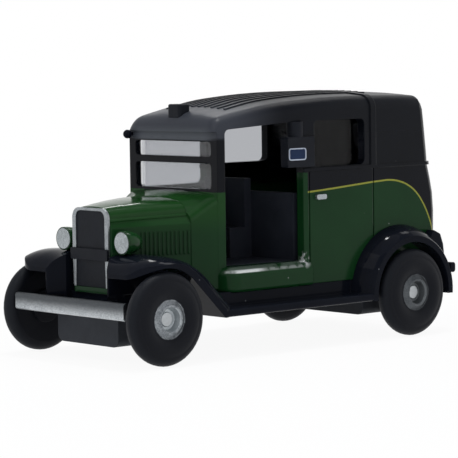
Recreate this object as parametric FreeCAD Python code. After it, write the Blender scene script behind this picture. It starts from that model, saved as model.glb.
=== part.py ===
"""Die-cast toy of a 1930s London taxi cab, at railway-layout size (about 1:148).

Frame: millimetres, +X to the front, +Y to the car's left (the kerb side with the
luggage platform), +Z up. The origin lies on the ground under the middle of the
overall length. Every piece is written to parts/NAME.step.
"""
import FreeCAD, Part
import math
import os

V = FreeCAD.Vector
PLANES = {"x": lambda u, v, w: V(w, u, v),
          "y": lambda u, v, w: V(u, w, v),
          "z": lambda u, v, w: V(u, v, w)}
NORMALS = {"x": V(1, 0, 0), "y": V(0, 1, 0), "z": V(0, 0, 1)}

# Whole car
wheelbase = 19.2
front_overhang = 2.35           # bumper face ahead of the front axle
rear_overhang = 4.5             # bumper face behind the rear axle
overrun = 1.0                   # how far a cutting tool runs past the metal
seat_clearance = 0.03           # between pieces that drop into each other

# Wheels and axles
wheel_radius = 2.58
wheel_width = 1.1
wheel_outer_y = 6.1             # outer face of the tyre from the centre line
tyre_shoulder = 0.5
tyre_wall_bulge = 0.1
hub_ring_radius = 1.06
hub_ring_height = 0.09
hub_ring_land = 0.2
hub_dish_radius = 0.65
hub_dish_depth = 0.36
hub_boss_radius = 0.95
hub_boss_height = 0.12
axle_radius = 0.4
axle_end_proud = 0.08
axle_running_clearance = 0.05

# Levels above the ground
block_bottom_z = 0.85
base_bottom_z = 2.3
base_top_z = 2.75
sill_z = 3.55                   # bottom edge of the painted body
floor_z = 4.9
waist_z = 10.05
bonnet_bottom_z = 3.7

# Cab body
screen_setback = 5.41           # windscreen face behind the front axle
cab_tail = 3.15                 # back of the cab behind the rear axle, at the waist
cab_wall = 0.55
screen_wall = 0.32              # thinner metal round the windscreen
screen_half_width = 3.85        # cab half width at the windscreen
cab_half_width = 4.5            # cab half width over the passenger doors
roof_front_z = 12.75            # middle of the roof's front edge
roof_edge_front_z = 12.65       # top of its rolled side edge, at the front
roof_crown_z = 14.54
roof_edge_z = 14.34
roof_lip = 0.16                 # roof overhang above the windscreen
roof_lip_z = 12.5
roof_shoulder_radius = 0.8
tail_corner_radius = 1.1
tail_roof_radius = 1.3          # rolls the roof down into the back
tail_swell = 0.52               # how far the back bulges out below the waist
tail_lean = 0.35                # how far the back leans in up to the roof
tail_margin = 0.04              # corner rounding starts this far outside the sides
# side view of the back below the waist: share of the height from sill to waist,
# share of the swell
tail_swell_shares = [(-0.2, 0.35), (0.0, 0.62), (0.2, 0.86), (0.4, 0.98), (0.57, 1.0),
                     (0.74, 0.82), (0.88, 0.42), (1.0, 0.0)]
# the same above the waist: share of the height up to the roll, share of the lean
tail_lean_shares = [(0.3, 0.24), (0.65, 0.6)]
tail_roll_steps = 5
tail_roll_deg = 78.0            # the roll stops short of level, where it meets the roof
# stations from the windscreen to the tail, shares of the cab length; of the
# half-width gain, the crown rise and the rise of the rolled edge
roof_station_shares = [(0.0, 0.0, 0.0, 0.0), (0.0073, 0.01, 0.198, 0.20), (0.0225, 0.03, 0.358, 0.36),
                       (0.0395, 0.06, 0.444, 0.43), (0.0716, 0.11, 0.535, 0.50),
                       (0.118, 0.23, 0.626, 0.59), (0.194, 0.45, 0.775, 0.725),
                       (0.282, 0.68, 0.882, 0.84), (0.37, 0.87, 0.947, 0.91), (0.469, 0.96, 0.99, 0.966),
                       (0.586, 1.0, 1.0, 1.0), (0.70, 1.0, 1.0, 0.995), (0.82, 1.0, 0.98, 0.98),
                       (0.93, 1.0, 0.93, 0.94), (1.06, 1.0, 0.86, 0.89)]

# Windscreen
screen_open_half = 3.31
screen_bottom_z = 9.28
screen_bar_low_z = 10.73
screen_bar_high_z = 11.11
screen_top_z = 11.96
screen_corner = 0.25

# Luggage platform on the kerb side
platform_front_gap = 0.55       # pillar between windscreen and opening
platform_length = 5.55
platform_top_front_z = 12.62
platform_top_rear_z = 13.0
platform_corner = 0.3
step_out = 0.2                  # how far the step stands out past the cab side
step_front_reach = 0.6          # step reaches ahead of the opening
step_rear_reach = 0.45
step_drop = 0.08
step_nose_radius = 1.0
step_edge_round = 0.5
step_under_round = 0.25

# Doors and windows
door_pillar = 0.85              # from the platform's rear edge to the window
window_length = 4.05
window_bottom_z = 10.3
window_top_z = 12.98
window_corner = 0.35
door_shut_behind = 0.72         # shut line behind the window
shut_line_width = 0.09
shut_line_depth = 0.1
driver_window_length = 5.45
driver_window_behind = 0.46     # behind the windscreen face
driver_window_bottom_z = 9.2
driver_window_top_z = 12.3
rear_window_half = 1.6
rear_window_bottom_z = 11.0
rear_window_top_z = 12.5
rear_window_corner = 0.3

# Raised trim cast on the cab
bead_height = 0.08
bead_width = 0.2
band_width = 0.45
band_behind_door = 0.25
rib_pitch = 0.56
rib_width = 0.14
rib_height = 0.07
rib_count = 10
rib_front_setback = 1.75
rib_length = 11.2

# Bonnet and radiator
radiator_ahead = 0.7            # radiator face ahead of the front axle
radiator_depth = 0.16
radiator_half_width = 1.58
radiator_frame_width = 0.29
radiator_top_strip = 0.16       # height of the frame over the core
radiator_top_z = 8.45
radiator_corner = 0.58
radiator_inner_corner = 0.4
radiator_bottom_z = 3.7
radiator_bar_height = 0.32
grille_setback = 0.06
radiator_taper = 0.06           # the surround narrows below the plate
radiator_low_strip = 0.19       # width of its side strips down there
bonnet_rear_half = 3.47
bonnet_front_top_z = 8.52
bonnet_rear_top_z = 8.86
bonnet_side_front_z = 7.35
bonnet_side_rear_z = 7.48
bonnet_knee_front_z = 7.75
bonnet_knee_rear_z = 7.95
bonnet_knee_share = 0.88
# the top across the car, from the shoulder in: share of the half width, share of the rise
bonnet_arch_shares = [(0.84, 0.55), (0.66, 0.85), (0.36, 0.97)]
bonnet_bead_radius = 0.1        # hinge bead along each shoulder
bonnet_front_half = 1.68        # a little wider than the radiator
scuttle_length = 1.7
scuttle_shoulder = 0.55
scuttle_edge_z = 9.05
scuttle_top_z = 9.22
# from the radiator back to the scuttle: share of the length, share of the top's rise
bonnet_top_shares = [(0.0, 0.0), (0.25, 0.4), (0.5, 0.7), (0.75, 0.9), (1.0, 1.0)]
# from the scuttle's proud front edge back to the windscreen: share of the length,
# share of the rise
scuttle_shares = [(0.0, 0.12), (0.25, 0.36), (0.5, 0.6), (0.75, 0.83), (1.0, 1.0)]
louvre_count = 12
louvre_pitch = 0.228
louvre_width = 0.11
louvre_proud = 0.07
louvre_bottom_z = 5.8
louvre_top_z = 7.1
louvre_first_behind = 1.08      # first louvre behind the front axle

# Number plate
plate_half_width = 1.63
plate_bottom_z = 5.54
plate_height = 0.65
plate_thickness = 0.12
plate_corner = 0.08

# Headlamps
lamp_radius = 0.66
lamp_y = 2.6
lamp_z = 6.6
lamp_face_ahead = 0.6
lamp_length = 1.3
lamp_lens_thickness = 0.12
lamp_rim = 0.1
lamp_arm_radius = 0.16
lamp_arm_setback = 0.5
lamp_foot_radius = 0.2

# Wings and running boards
wing_outer_y = 5.8
wing_inner_y = 1.95
wing_front_reach = 1.72         # wing nose ahead of the front axle
wing_tail_reach = 6.0           # wing tail behind the front axle
wing_crown_z = 5.95
wing_arch_gap = 0.2
wing_nose_depth = 0.42          # depth of its front lip
wing_valance_y = 2.67           # inner edge of the front lip
wing_valance_low_z = 3.5
wing_nose_corner = 1.6          # rounds its outer front corner, seen from above
wing_nose_inner_corner = 0.35
wing_mouth_radius = 1.35        # where the front lip turns down into the valance
rear_arch_gap = 0.42
board_top_z = 2.76
board_thickness = 0.44
board_edge_round = 0.15
# outer curve of a front wing where it meets the bonnet, and along its outer lip:
# share of the nose-to-tail length, share of the height from board to crown
wing_crown_shares = [(0.0, 0.70), (0.035, 0.83), (0.10, 0.94), (0.20, 1.0), (0.33, 0.985),
                     (0.47, 0.90), (0.60, 0.74), (0.72, 0.50), (0.83, 0.25), (0.92, 0.05)]
wing_lip_shares = [(0.0, 0.67), (0.055, 0.78), (0.14, 0.85), (0.236, 0.875), (0.316, 0.88),
                   (0.404, 0.83), (0.49, 0.70), (0.60, 0.47), (0.70, 0.20), (0.78, 0.0)]
# across the wing: share of the width outwards, share of the way from crown to lip
wing_camber_shares = [(0.0, 0.0), (0.45, 0.0), (0.8, 0.22), (0.94, 0.62), (1.0, 1.0)]
rear_wing_root_radius = 4.02
rear_wing_lip_radius = 3.36
rear_wing_crown_share = 0.62    # of the wing's width, where the outer curve bends most
rear_wing_tail_out = 0.55       # width of the upright tail behind it, out from the cab side
rear_wing_tail_round = 0.3
# side view of that tail, from its top down: shares of the root radius, back and up
rear_wing_tail_shares = [(0.626, 0.876), (0.82, 0.79), (0.872, 0.66), (0.909, 0.403), (0.925, 0.097),
                         (0.915, 0.0), (0.812, -0.06)]
chassis_front_half = 2.8
chassis_rear_half = 4.42
chassis_step_behind = 4.5       # where the chassis narrows, behind the front axle

# Baseplate and axle blocks
front_block_half = 2.7
front_block_ahead = 0.98
front_block_behind = 1.1
rear_block_half = 3.75
rear_block_ahead = 2.3
rear_block_behind = 1.5
rear_block_bottom_z = 1.25
block_corner = 0.45
base_half_width = 3.4
rivet_radius = 0.55
rivet_height = 0.15
rivet_inset = 5.0

# Bumpers
bumper_half = 4.85
bumper_low_z = 2.58
bumper_high_z = 3.56
bumper_thickness = 0.42
bumper_corner = 0.18
bumper_iron_y = 1.7
bumper_iron_width = 0.4
bumper_iron_height = 0.36
rear_bumper_half = 4.95
rear_bumper_low_z = 3.42
rear_bumper_high_z = 4.03
rear_bumper_thickness = 0.4

# Interior
interior_gap = 0.06
partition_thickness = 0.4
partition_top_z = 8.8
glass_thickness = 0.25
glass_bottom_z = 8.95
driver_back_top_z = 9.55
driver_back_thickness = 0.5
driver_seat_length = 1.7
driver_seat_z = 6.7
driver_seat_side = 0.1          # kerb-side face of the driver's seat
rear_seat_length = 2.4
rear_seat_z = 6.9
rear_back_thickness = 0.7
rear_back_top_z = 9.4
steering_wheel_radius = 0.95
steering_rim_radius = 0.11
steering_column_radius = 0.14
steering_tilt_deg = 40.0
steering_z = 8.2
steering_y = 1.75
steering_behind_screen = 1.55

# Taximeter
meter_ahead = 1.36              # ahead of the platform's rear edge
meter_lap = 0.75                # laps the door pillar behind that edge
meter_low_z = 10.34
meter_high_z = 12.07
meter_out = 0.1
meter_depth = 0.5
meter_corner = 0.1
flag_radius = 0.47
flag_top_z = 12.95
flag_ahead = 0.36               # drum centre ahead of the platform's rear edge

# Roof sign
sign_half_width = 0.56
sign_length = 0.84
sign_height = 0.8               # above the roof at its front face
sign_front_setback = 0.1
sign_corner = 0.2

# Screen mirror
mirror_radius = 0.26
mirror_y = 3.62
mirror_z = 12.3
mirror_out = 0.34
mirror_stem_radius = 0.1

# Door handles
handle_length = 0.78
handle_height = 0.3
handle_proud = 0.16
handle_z = 8.55
handle_behind_edge = 0.87

# Places that follow from the sizes
overall_length = front_overhang + wheelbase + rear_overhang
front_axle_x = overall_length / 2 - front_overhang
rear_axle_x = front_axle_x - wheelbase
screen_x = front_axle_x - screen_setback
tail_x = rear_axle_x - cab_tail
cab_length = screen_x + roof_lip - tail_x
platform_front_x = screen_x - platform_front_gap
platform_rear_x = platform_front_x - platform_length
window_front_x = platform_rear_x - door_pillar
window_rear_x = window_front_x - window_length
shut_x = window_rear_x - door_shut_behind
radiator_x = front_axle_x + radiator_ahead
bonnet_front_x = radiator_x - radiator_depth
scuttle_x = screen_x + scuttle_length
wheel_inner_y = wheel_outer_y - wheel_width
wing_nose_x = front_axle_x + wing_front_reach
wing_tail_x = front_axle_x - wing_tail_reach
front_arch_radius = wheel_radius + wing_arch_gap
rear_arch_radius = wheel_radius + rear_arch_gap


def corner(previous, here, following, radius):
    """Tangent points and middle point of the arc that rounds one corner."""
    back = FreeCAD.Vector(previous[0] - here[0], previous[1] - here[1], 0).normalize()
    ahead = FreeCAD.Vector(following[0] - here[0], following[1] - here[1], 0).normalize()
    half = back.getAngle(ahead) / 2
    run = radius / math.tan(half)
    at = V(here[0], here[1], 0)
    bisector = (back + ahead).normalize()
    middle = at + bisector * (radius / math.sin(half) - radius)
    return at + back * run, middle, at + ahead * run


def outline(plane, points, level):
    """Closed wire through (u, v) or (u, v, radius) points, corners rounded."""
    place = PLANES[plane]
    count = len(points)
    joints = []
    for i, point in enumerate(points):
        if len(point) > 2 and point[2] > 0:
            joints.append(corner(points[i - 1], point, points[(i + 1) % count], point[2]))
        else:
            joints.append((V(point[0], point[1], 0),) * 3)
    edges = []
    for i, (start, middle, end) in enumerate(joints):
        if (end - start).Length > 0:
            edges.append(Part.Arc(*(place(p.x, p.y, level) for p in (start, middle, end))).toShape())
        follow = joints[(i + 1) % count][0]
        if (follow - end).Length > 0:
            edges.append(Part.LineSegment(place(end.x, end.y, level),
                                          place(follow.x, follow.y, level)).toShape())
    return Part.Wire(edges)


def prism(plane, points, low, high):
    """Solid between two levels on the axis normal to the plane."""
    face = Part.Face(outline(plane, points, low))
    return face.extrude(NORMALS[plane] * (high - low))


def block(low_x, high_x, low_y, high_y, low_z, high_z):
    """Box between six limits."""
    return Part.makeBox(high_x - low_x, high_y - low_y, high_z - low_z, V(low_x, low_y, low_z))


def rod(radius, start, end):
    """Round bar between two points."""
    run = end - start
    return Part.makeCylinder(radius, run.Length, start, run)


def mirrored(shape):
    """The same shape on the other side of the car."""
    return shape.mirror(V(0, 0, 0), V(0, 1, 0))


def fuse(shapes):
    """One solid from several that touch."""
    whole = shapes[0].multiFuse(shapes[1:]) if len(shapes) > 1 else shapes[0]
    return whole.removeSplitter()


def cab_section(x, half, edge_z, crown_z, shoulder, bottom_z):
    """Loaf-shaped cross-section of the cab: flat sides, rolled shoulders, cambered top."""
    tangent_y = half - shoulder
    side_z = edge_z - shoulder
    knee = math.sqrt(0.5)
    left = [V(x, half, bottom_z), V(x, half, side_z),
            V(x, tangent_y + shoulder * knee, side_z + shoulder * knee), V(x, tangent_y, edge_z)]
    right = [V(x, -p.y, p.z) for p in left]
    edges = [Part.LineSegment(right[0], left[0]).toShape(),
             Part.LineSegment(left[0], left[1]).toShape(),
             Part.Arc(left[1], left[2], left[3]).toShape(),
             Part.Arc(left[3], V(x, 0, crown_z), right[3]).toShape(),
             Part.Arc(right[3], right[2], right[1]).toShape(),
             Part.LineSegment(right[1], right[0]).toShape()]
    return Part.Wire(edges)


def cab_form(inset, front_inset):
    """Outer form of the cab, drawn in by inset (swollen by a negative one)."""
    bottom_z = sill_z if inset == 0 else sill_z - overrun
    shoulder = roof_shoulder_radius - min(inset, roof_shoulder_radius / 2)
    sections = []
    for along, gain, crown, edge in roof_station_shares:
        x = screen_x + roof_lip - along * cab_length
        half = screen_half_width + gain * (cab_half_width - screen_half_width) - inset
        crown_z = roof_front_z + crown * (roof_crown_z - roof_front_z) - inset
        edge_z = roof_edge_front_z + edge * (roof_edge_z - roof_edge_front_z) - inset
        sections.append(cab_section(x, half, edge_z, crown_z, shoulder, bottom_z))
    loaf = Part.makeLoft(sections, True, False)
    return loaf.common(cab_front(front_inset)).common(cab_plan(inset))


def cab_front(front_inset):
    """Room behind the windscreen face and the lip of the roof above it."""
    face = screen_x - front_inset
    lip = face + roof_lip
    back = tail_x - tail_swell - overrun
    low = sill_z - overrun - overrun
    top = roof_crown_z + overrun
    points = [(face, low), (face, roof_lip_z), (lip, roof_lip_z), (lip, top), (back, top), (back, low)]
    reach = cab_half_width + overrun
    return prism("y", points, -reach, reach)


def tail_profile():
    """Side view of the back, from below the sill up to the roof: heights and offsets."""
    sill_to_waist = waist_z - sill_z
    roll_z = roof_edge_z - tail_roof_radius
    waist_to_roll = roll_z - waist_z
    curve = [(sill_z + up * sill_to_waist, -out * tail_swell) for up, out in tail_swell_shares]
    curve += [(waist_z + up * waist_to_roll, lean * tail_lean) for up, lean in tail_lean_shares]
    for i in range(tail_roll_steps + 1):
        turn = math.radians(i * tail_roll_deg / tail_roll_steps)
        curve.append((roll_z + tail_roof_radius * math.sin(turn),
                      tail_lean + tail_roof_radius * (1 - math.cos(turn))))
    return curve


def cab_plan(inset):
    """Stacked top views: round corners at the tail, which swells out and leans in."""
    half = cab_half_width - inset + tail_margin
    front = screen_x + roof_lip + overrun
    sections = []
    for level, offset in tail_profile():
        back = tail_x + offset + inset
        points = [(front, -half), (front, half), (back, half, tail_corner_radius),
                  (back, -half, tail_corner_radius)]
        sections.append(outline("z", points, level - inset))
    top = sections[-1].copy()
    top.translate(V(0, 0, tail_roof_radius))
    return Part.makeLoft(sections, True, True).fuse(Part.makeLoft([sections[-1], top], True, True))


def roof_z(x):
    """Height of the roof on the centre line at a station."""
    place = (screen_x + roof_lip - x) / cab_length
    for (near, _, low, _), (far, _, high, _) in zip(roof_station_shares, roof_station_shares[1:]):
        if near <= place <= far:
            rise = low + (high - low) * (place - near) / (far - near)
    return roof_front_z + rise * (roof_crown_z - roof_front_z)


def bonnet_section(along, rise):
    """Cross-section of the bonnet: upright sides, sloping shoulders, cambered top."""
    x = bonnet_front_x + along * (scuttle_x - bonnet_front_x)
    half = bonnet_side_y(x)
    side_z = bonnet_side_front_z + along * (bonnet_side_rear_z - bonnet_side_front_z)
    knee_z = bonnet_knee_front_z + along * (bonnet_knee_rear_z - bonnet_knee_front_z)
    top_z = bonnet_front_top_z + rise * (bonnet_rear_top_z - bonnet_front_top_z)
    corners = [V(x, half, bonnet_bottom_z), V(x, half, side_z), V(x, half * bonnet_knee_share, knee_z)]
    other = [V(x, -p.y, p.z) for p in corners]
    rising = [V(x, half * out, knee_z + up * (top_z - knee_z)) for out, up in bonnet_arch_shares]
    arch = Part.BSplineCurve()
    arch.interpolate([corners[2]] + rising + [V(x, 0, top_z)] + [V(x, -p.y, p.z) for p in reversed(rising)]
                     + [other[2]])
    edges = [Part.LineSegment(other[0], corners[0]).toShape(),
             Part.LineSegment(corners[0], corners[1]).toShape(),
             Part.LineSegment(corners[1], corners[2]).toShape(),
             arch.toShape(),
             Part.LineSegment(other[2], other[1]).toShape(),
             Part.LineSegment(other[1], other[0]).toShape()]
    return Part.Wire(edges)


def scuttle_section(x, half, edge_z, top_z):
    """Cross-section of the scuttle: upright sides, round shoulders, nearly flat top."""
    radius = scuttle_shoulder
    knee = math.sqrt(0.5)
    tangent_y = half - radius
    left = [V(x, half, bonnet_bottom_z), V(x, half, edge_z - radius),
            V(x, tangent_y + radius * knee, edge_z - radius + radius * knee), V(x, tangent_y, edge_z)]
    right = [V(x, -p.y, p.z) for p in left]
    return Part.Wire([Part.LineSegment(right[0], left[0]).toShape(),
                      Part.LineSegment(left[0], left[1]).toShape(),
                      Part.Arc(left[1], left[2], left[3]).toShape(),
                      Part.Arc(left[3], V(x, 0, top_z), right[3]).toShape(),
                      Part.Arc(right[3], right[2], right[1]).toShape(),
                      Part.LineSegment(right[1], right[0]).toShape()])


def bonnet():
    """Tapered bonnet, and the scuttle that rises and widens to the windscreen."""
    hood = Part.makeLoft([bonnet_section(along, rise) for along, rise in bonnet_top_shares], True, True)
    stations = []
    for along, rise in scuttle_shares:
        half = bonnet_rear_half + rise * (screen_half_width - bonnet_rear_half)
        edge_z = bonnet_knee_rear_z + rise * (scuttle_edge_z - bonnet_knee_rear_z)
        top_z = bonnet_rear_top_z + rise * (scuttle_top_z - bonnet_rear_top_z)
        stations.append(scuttle_section(scuttle_x - along * scuttle_length, half, edge_z, top_z))
    end = stations[-1].copy()
    end.translate(V(-screen_wall, 0, 0))
    return fuse([hood, Part.makeLoft(stations, True, False), Part.makeLoft([stations[-1], end], True, True)])


def bonnet_beads():
    """Round hinge bead along each shoulder of the bonnet, let half into it."""
    ends = [V(x, bonnet_side_y(x) * bonnet_knee_share, z)
            for x, z in ((bonnet_front_x, bonnet_knee_front_z), (scuttle_x, bonnet_knee_rear_z))]
    ahead = block(bonnet_front_x, radiator_x + overrun, 0, bonnet_rear_half, bonnet_bottom_z, waist_z)
    bead = rod(bonnet_bead_radius, *ends).cut(ahead)
    return [bead, mirrored(bead)]


def radiator_sill():
    """Painted bar under the radiator, flush with its surround."""
    half = radiator_half_width - radiator_taper
    bar = block(bonnet_front_x, radiator_x, -half, half, radiator_bottom_z,
                radiator_bottom_z + radiator_bar_height)
    upright = [edge for edge in bar.Edges if edge.BoundBox.XMin > bonnet_front_x
               and edge.BoundBox.YLength < radiator_taper]
    return bar.makeFillet(radiator_depth / 2, upright)


def bonnet_side_y(x):
    """Half width of the bonnet at a station."""
    share = (bonnet_front_x - x) / (bonnet_front_x - scuttle_x)
    return bonnet_front_half + share * (bonnet_rear_half - bonnet_front_half)


def louvres():
    """Row of upright louvres along each bonnet side."""
    slope = math.atan2(bonnet_side_y(scuttle_x) - bonnet_side_y(bonnet_front_x), bonnet_front_x - scuttle_x)
    strips = []
    for i in range(louvre_count):
        x = front_axle_x - louvre_first_behind - i * louvre_pitch
        strip = block(-louvre_width / 2, louvre_width / 2, -louvre_proud, louvre_proud,
                      louvre_bottom_z, louvre_top_z)
        strip.rotate(V(0, 0, 0), V(0, 0, 1), -math.degrees(slope))
        strip.translate(V(x, bonnet_side_y(x), 0))
        strips += [strip, mirrored(strip)]
    return strips


def platform_opening():
    """Tool that opens the kerb side over the luggage platform."""
    points = [(platform_front_x, floor_z), (platform_rear_x, floor_z),
              (platform_rear_x, platform_top_rear_z, platform_corner),
              (platform_front_x, platform_top_front_z, platform_corner)]
    return prism("y", points, cab_wall, cab_half_width + step_out + overrun)


def side_window(front_x, length, low_z, high_z, side):
    """Tool that cuts one side window; side is 1 for the kerb side, -1 for the other."""
    points = [(front_x, low_z, window_corner), (front_x - length, low_z, window_corner),
              (front_x - length, high_z, window_corner), (front_x, high_z, window_corner)]
    near = cab_half_width - cab_wall - overrun
    far = cab_half_width + overrun
    return prism("y", points, min(side * near, side * far), max(side * near, side * far))


def front_window(low_z, high_z):
    """Tool that cuts one pane of the windscreen."""
    half = screen_open_half
    points = [(-half, low_z, screen_corner), (half, low_z, screen_corner),
              (half, high_z, screen_corner), (-half, high_z, screen_corner)]
    return prism("x", points, screen_x - cab_wall - overrun, screen_x + overrun)


def rear_window():
    """Tool that cuts the small window in the back."""
    half = rear_window_half
    corner_radius = rear_window_corner
    points = [(-half, rear_window_bottom_z, corner_radius), (half, rear_window_bottom_z, corner_radius),
              (half, rear_window_top_z, corner_radius), (-half, rear_window_top_z, corner_radius)]
    return prism("x", points, tail_x - tail_swell - overrun, tail_x + cab_wall + tail_lean + overrun)


def step():
    """Step along the platform sill, with a round nose at its front."""
    out = cab_half_width + step_out
    front = platform_front_x + step_front_reach
    rear = platform_rear_x - step_rear_reach
    points = [(front, out, step_nose_radius), (front, cab_wall), (rear, cab_wall), (rear, out)]
    solid = prism("z", points, sill_z - step_drop, floor_z)
    for level, radius in ((floor_z, step_edge_round), (sill_z - step_drop, step_under_round)):
        rims = [edge for edge in solid.Edges
                if all(abs(v.Z - level) < seat_clearance for v in edge.Vertexes)
                and max(v.Y for v in edge.Vertexes) > out - step_nose_radius - seat_clearance
                and min(v.Y for v in edge.Vertexes) > cab_wall + seat_clearance]
        solid = solid.makeFillet(radius, rims)
    return solid


def shut_lines(form):
    """Grooves round the doors, cut to an even depth below the cab's side."""
    skin = form.cut(cab_form(shut_line_depth, shut_line_depth))
    half_line = shut_line_width / 2
    side = cab_half_width + overrun
    tools = []
    for x in (shut_x, platform_rear_x - step_rear_reach):
        tools.append(block(x - half_line, x + half_line, -side, side, sill_z, waist_z))
    front = platform_front_x - half_line
    tools.append(block(front - half_line, front + half_line, -side, -cab_wall, sill_z, waist_z))
    return [skin.common(tool) for tool in tools]


def raised_trim():
    """Waist bead, hood band and roof ribs, all following the cab's surface."""
    skin = cab_form(-bead_height, 0)
    side = cab_half_width + overrun
    back = tail_x - tail_swell - overrun
    bead = skin.common(block(back, platform_rear_x, -side, side, waist_z, waist_z + bead_width))
    bead_far = skin.common(block(platform_rear_x, platform_front_x, -side, 0, waist_z, waist_z + bead_width))
    band_x = shut_x + band_behind_door
    band = skin.common(block(band_x - band_width, band_x, -side, side, waist_z, roof_crown_z + overrun))
    rib_skin = cab_form(-rib_height, 0)
    ribs = []
    front = screen_x - rib_front_setback
    for i in range(rib_count):
        y = (i - (rib_count - 1) / 2) * rib_pitch
        ribs.append(rib_skin.common(block(front - rib_length, front, y - rib_width / 2, y + rib_width / 2,
                                          roof_front_z, roof_crown_z + overrun)))
    return [bead, bead_far, band] + ribs


def body_casting():
    """Painted body: bonnet, scuttle, hollow cab and roof in one casting."""
    form = cab_form(0, 0)
    shell = fuse([form, bonnet(), radiator_sill(), step()] + bonnet_beads() + raised_trim() + louvres())
    hollow = cab_form(cab_wall, screen_wall)
    hollow = hollow.common(block(tail_x - tail_swell, screen_x - screen_wall, -cab_half_width,
                                 cab_half_width, sill_z - overrun, roof_crown_z))
    shell = shell.cut(hollow)
    cuts = [platform_opening(),
            side_window(window_front_x, window_length, window_bottom_z, window_top_z, 1),
            side_window(window_front_x, window_length, window_bottom_z, window_top_z, -1),
            side_window(screen_x - driver_window_behind, driver_window_length, driver_window_bottom_z,
                        driver_window_top_z, -1),
            front_window(screen_bottom_z, screen_bar_low_z),
            front_window(screen_bar_high_z, screen_top_z), rear_window()]
    cuts += shut_lines(form)
    shell = shell.cut(Part.makeCompound(cuts))
    under = block(tail_x + cab_wall, platform_front_x + step_front_reach, 0,
                  cab_half_width - cab_wall, sill_z - step_drop - overrun, sill_z)
    return shell.cut(under)


def glazing():
    """Clear insert that lies against the inside of the cab behind every window."""
    inner = cab_form(cab_wall + glass_thickness, screen_wall + glass_thickness)
    band = cab_form(cab_wall, screen_wall).cut(inner)
    front = screen_x - screen_wall
    ring = band.common(block(tail_x - tail_swell, front, -cab_half_width, cab_half_width,
                             glass_bottom_z, platform_top_rear_z))
    low_half = screen_half_width - cab_wall - glass_thickness
    pane = block(front - glass_thickness, front, -low_half, low_half, glass_bottom_z, roof_lip_z)
    pane = pane.common(cab_form(cab_wall, screen_wall))
    gap = block(platform_rear_x - door_pillar / 2, front - glass_thickness, 0, cab_half_width,
                sill_z, roof_crown_z)
    return fuse([ring.cut(gap), pane])


def interior():
    """Black moulding: floor, partition, driver's seat and the passengers' bench."""
    lining = glass_thickness + interior_gap
    room = cab_form(cab_wall + lining, screen_wall + lining)
    front = screen_x - screen_wall - lining
    back = tail_x + cab_wall
    half = cab_half_width
    pieces = [block(back, front, -half, half, sill_z, floor_z),
              block(platform_rear_x - partition_thickness, platform_rear_x, -half, half,
                    sill_z, partition_top_z),
              block(platform_rear_x, platform_rear_x + driver_seat_length, -half, -driver_seat_side,
                    sill_z, driver_seat_z),
              block(platform_rear_x, platform_rear_x + driver_back_thickness, -half, -driver_seat_side,
                    sill_z, driver_back_top_z),
              block(back, tail_x + cab_wall + rear_seat_length, -half, half, sill_z, rear_seat_z),
              block(back, tail_x + cab_wall + rear_back_thickness, -half, half, sill_z, rear_back_top_z)]
    return fuse(pieces).common(room)


def steering_wheel(shell):
    """Rim, two spokes and column of the steering wheel, as far as the bulkhead."""
    tilt = math.radians(steering_tilt_deg)
    axis = V(-math.sin(tilt), 0, math.cos(tilt))
    centre = V(screen_x - steering_behind_screen, -steering_y, steering_z)
    rim = Part.makeTorus(steering_wheel_radius, steering_rim_radius, centre, axis)
    spoke = rod(steering_column_radius / 2, centre - V(0, steering_wheel_radius, 0),
                centre + V(0, steering_wheel_radius, 0))
    column = rod(steering_column_radius, centre - axis * ((steering_z - floor_z) / math.cos(tilt)), centre)
    return fuse([rim, spoke, column]).cut(shell)


def radiator_outline(half, low_half, low_z, high_z, radius):
    """Front view of the radiator: arched top, straight sides that taper below the plate."""
    return [(-low_half, low_z), (low_half, low_z), (half, plate_bottom_z), (half, high_z, radius),
            (-half, high_z, radius), (-half, plate_bottom_z)]


def radiator_shell():
    """Bright surround, arched over the top and open at the bottom."""
    half = radiator_half_width
    inner = half - radiator_frame_width
    low_z = radiator_bottom_z + radiator_bar_height
    outer = prism("x", radiator_outline(half, half - radiator_taper, low_z, radiator_top_z, radiator_corner),
                  bonnet_front_x, radiator_x)
    opening = prism("x", radiator_outline(inner, half - radiator_taper - radiator_low_strip, low_z,
                                          radiator_top_z - radiator_top_strip, radiator_inner_corner),
                    bonnet_front_x - overrun, radiator_x + overrun)
    return outer.cut(opening)


def radiator_grille():
    """Dark core that fills the radiator surround."""
    half = radiator_half_width
    points = radiator_outline(half - radiator_frame_width, half - radiator_taper - radiator_low_strip,
                              radiator_bottom_z + radiator_bar_height,
                              radiator_top_z - radiator_top_strip, radiator_inner_corner)
    return prism("x", points, bonnet_front_x, radiator_x - grille_setback)


def number_plate():
    """Blank front plate across the radiator."""
    top = plate_bottom_z + plate_height
    half = plate_half_width
    return prism("x", [(-half, plate_bottom_z, plate_corner), (half, plate_bottom_z, plate_corner),
                       (half, top, plate_corner), (-half, top, plate_corner)],
                 radiator_x, radiator_x + plate_thickness)


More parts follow.
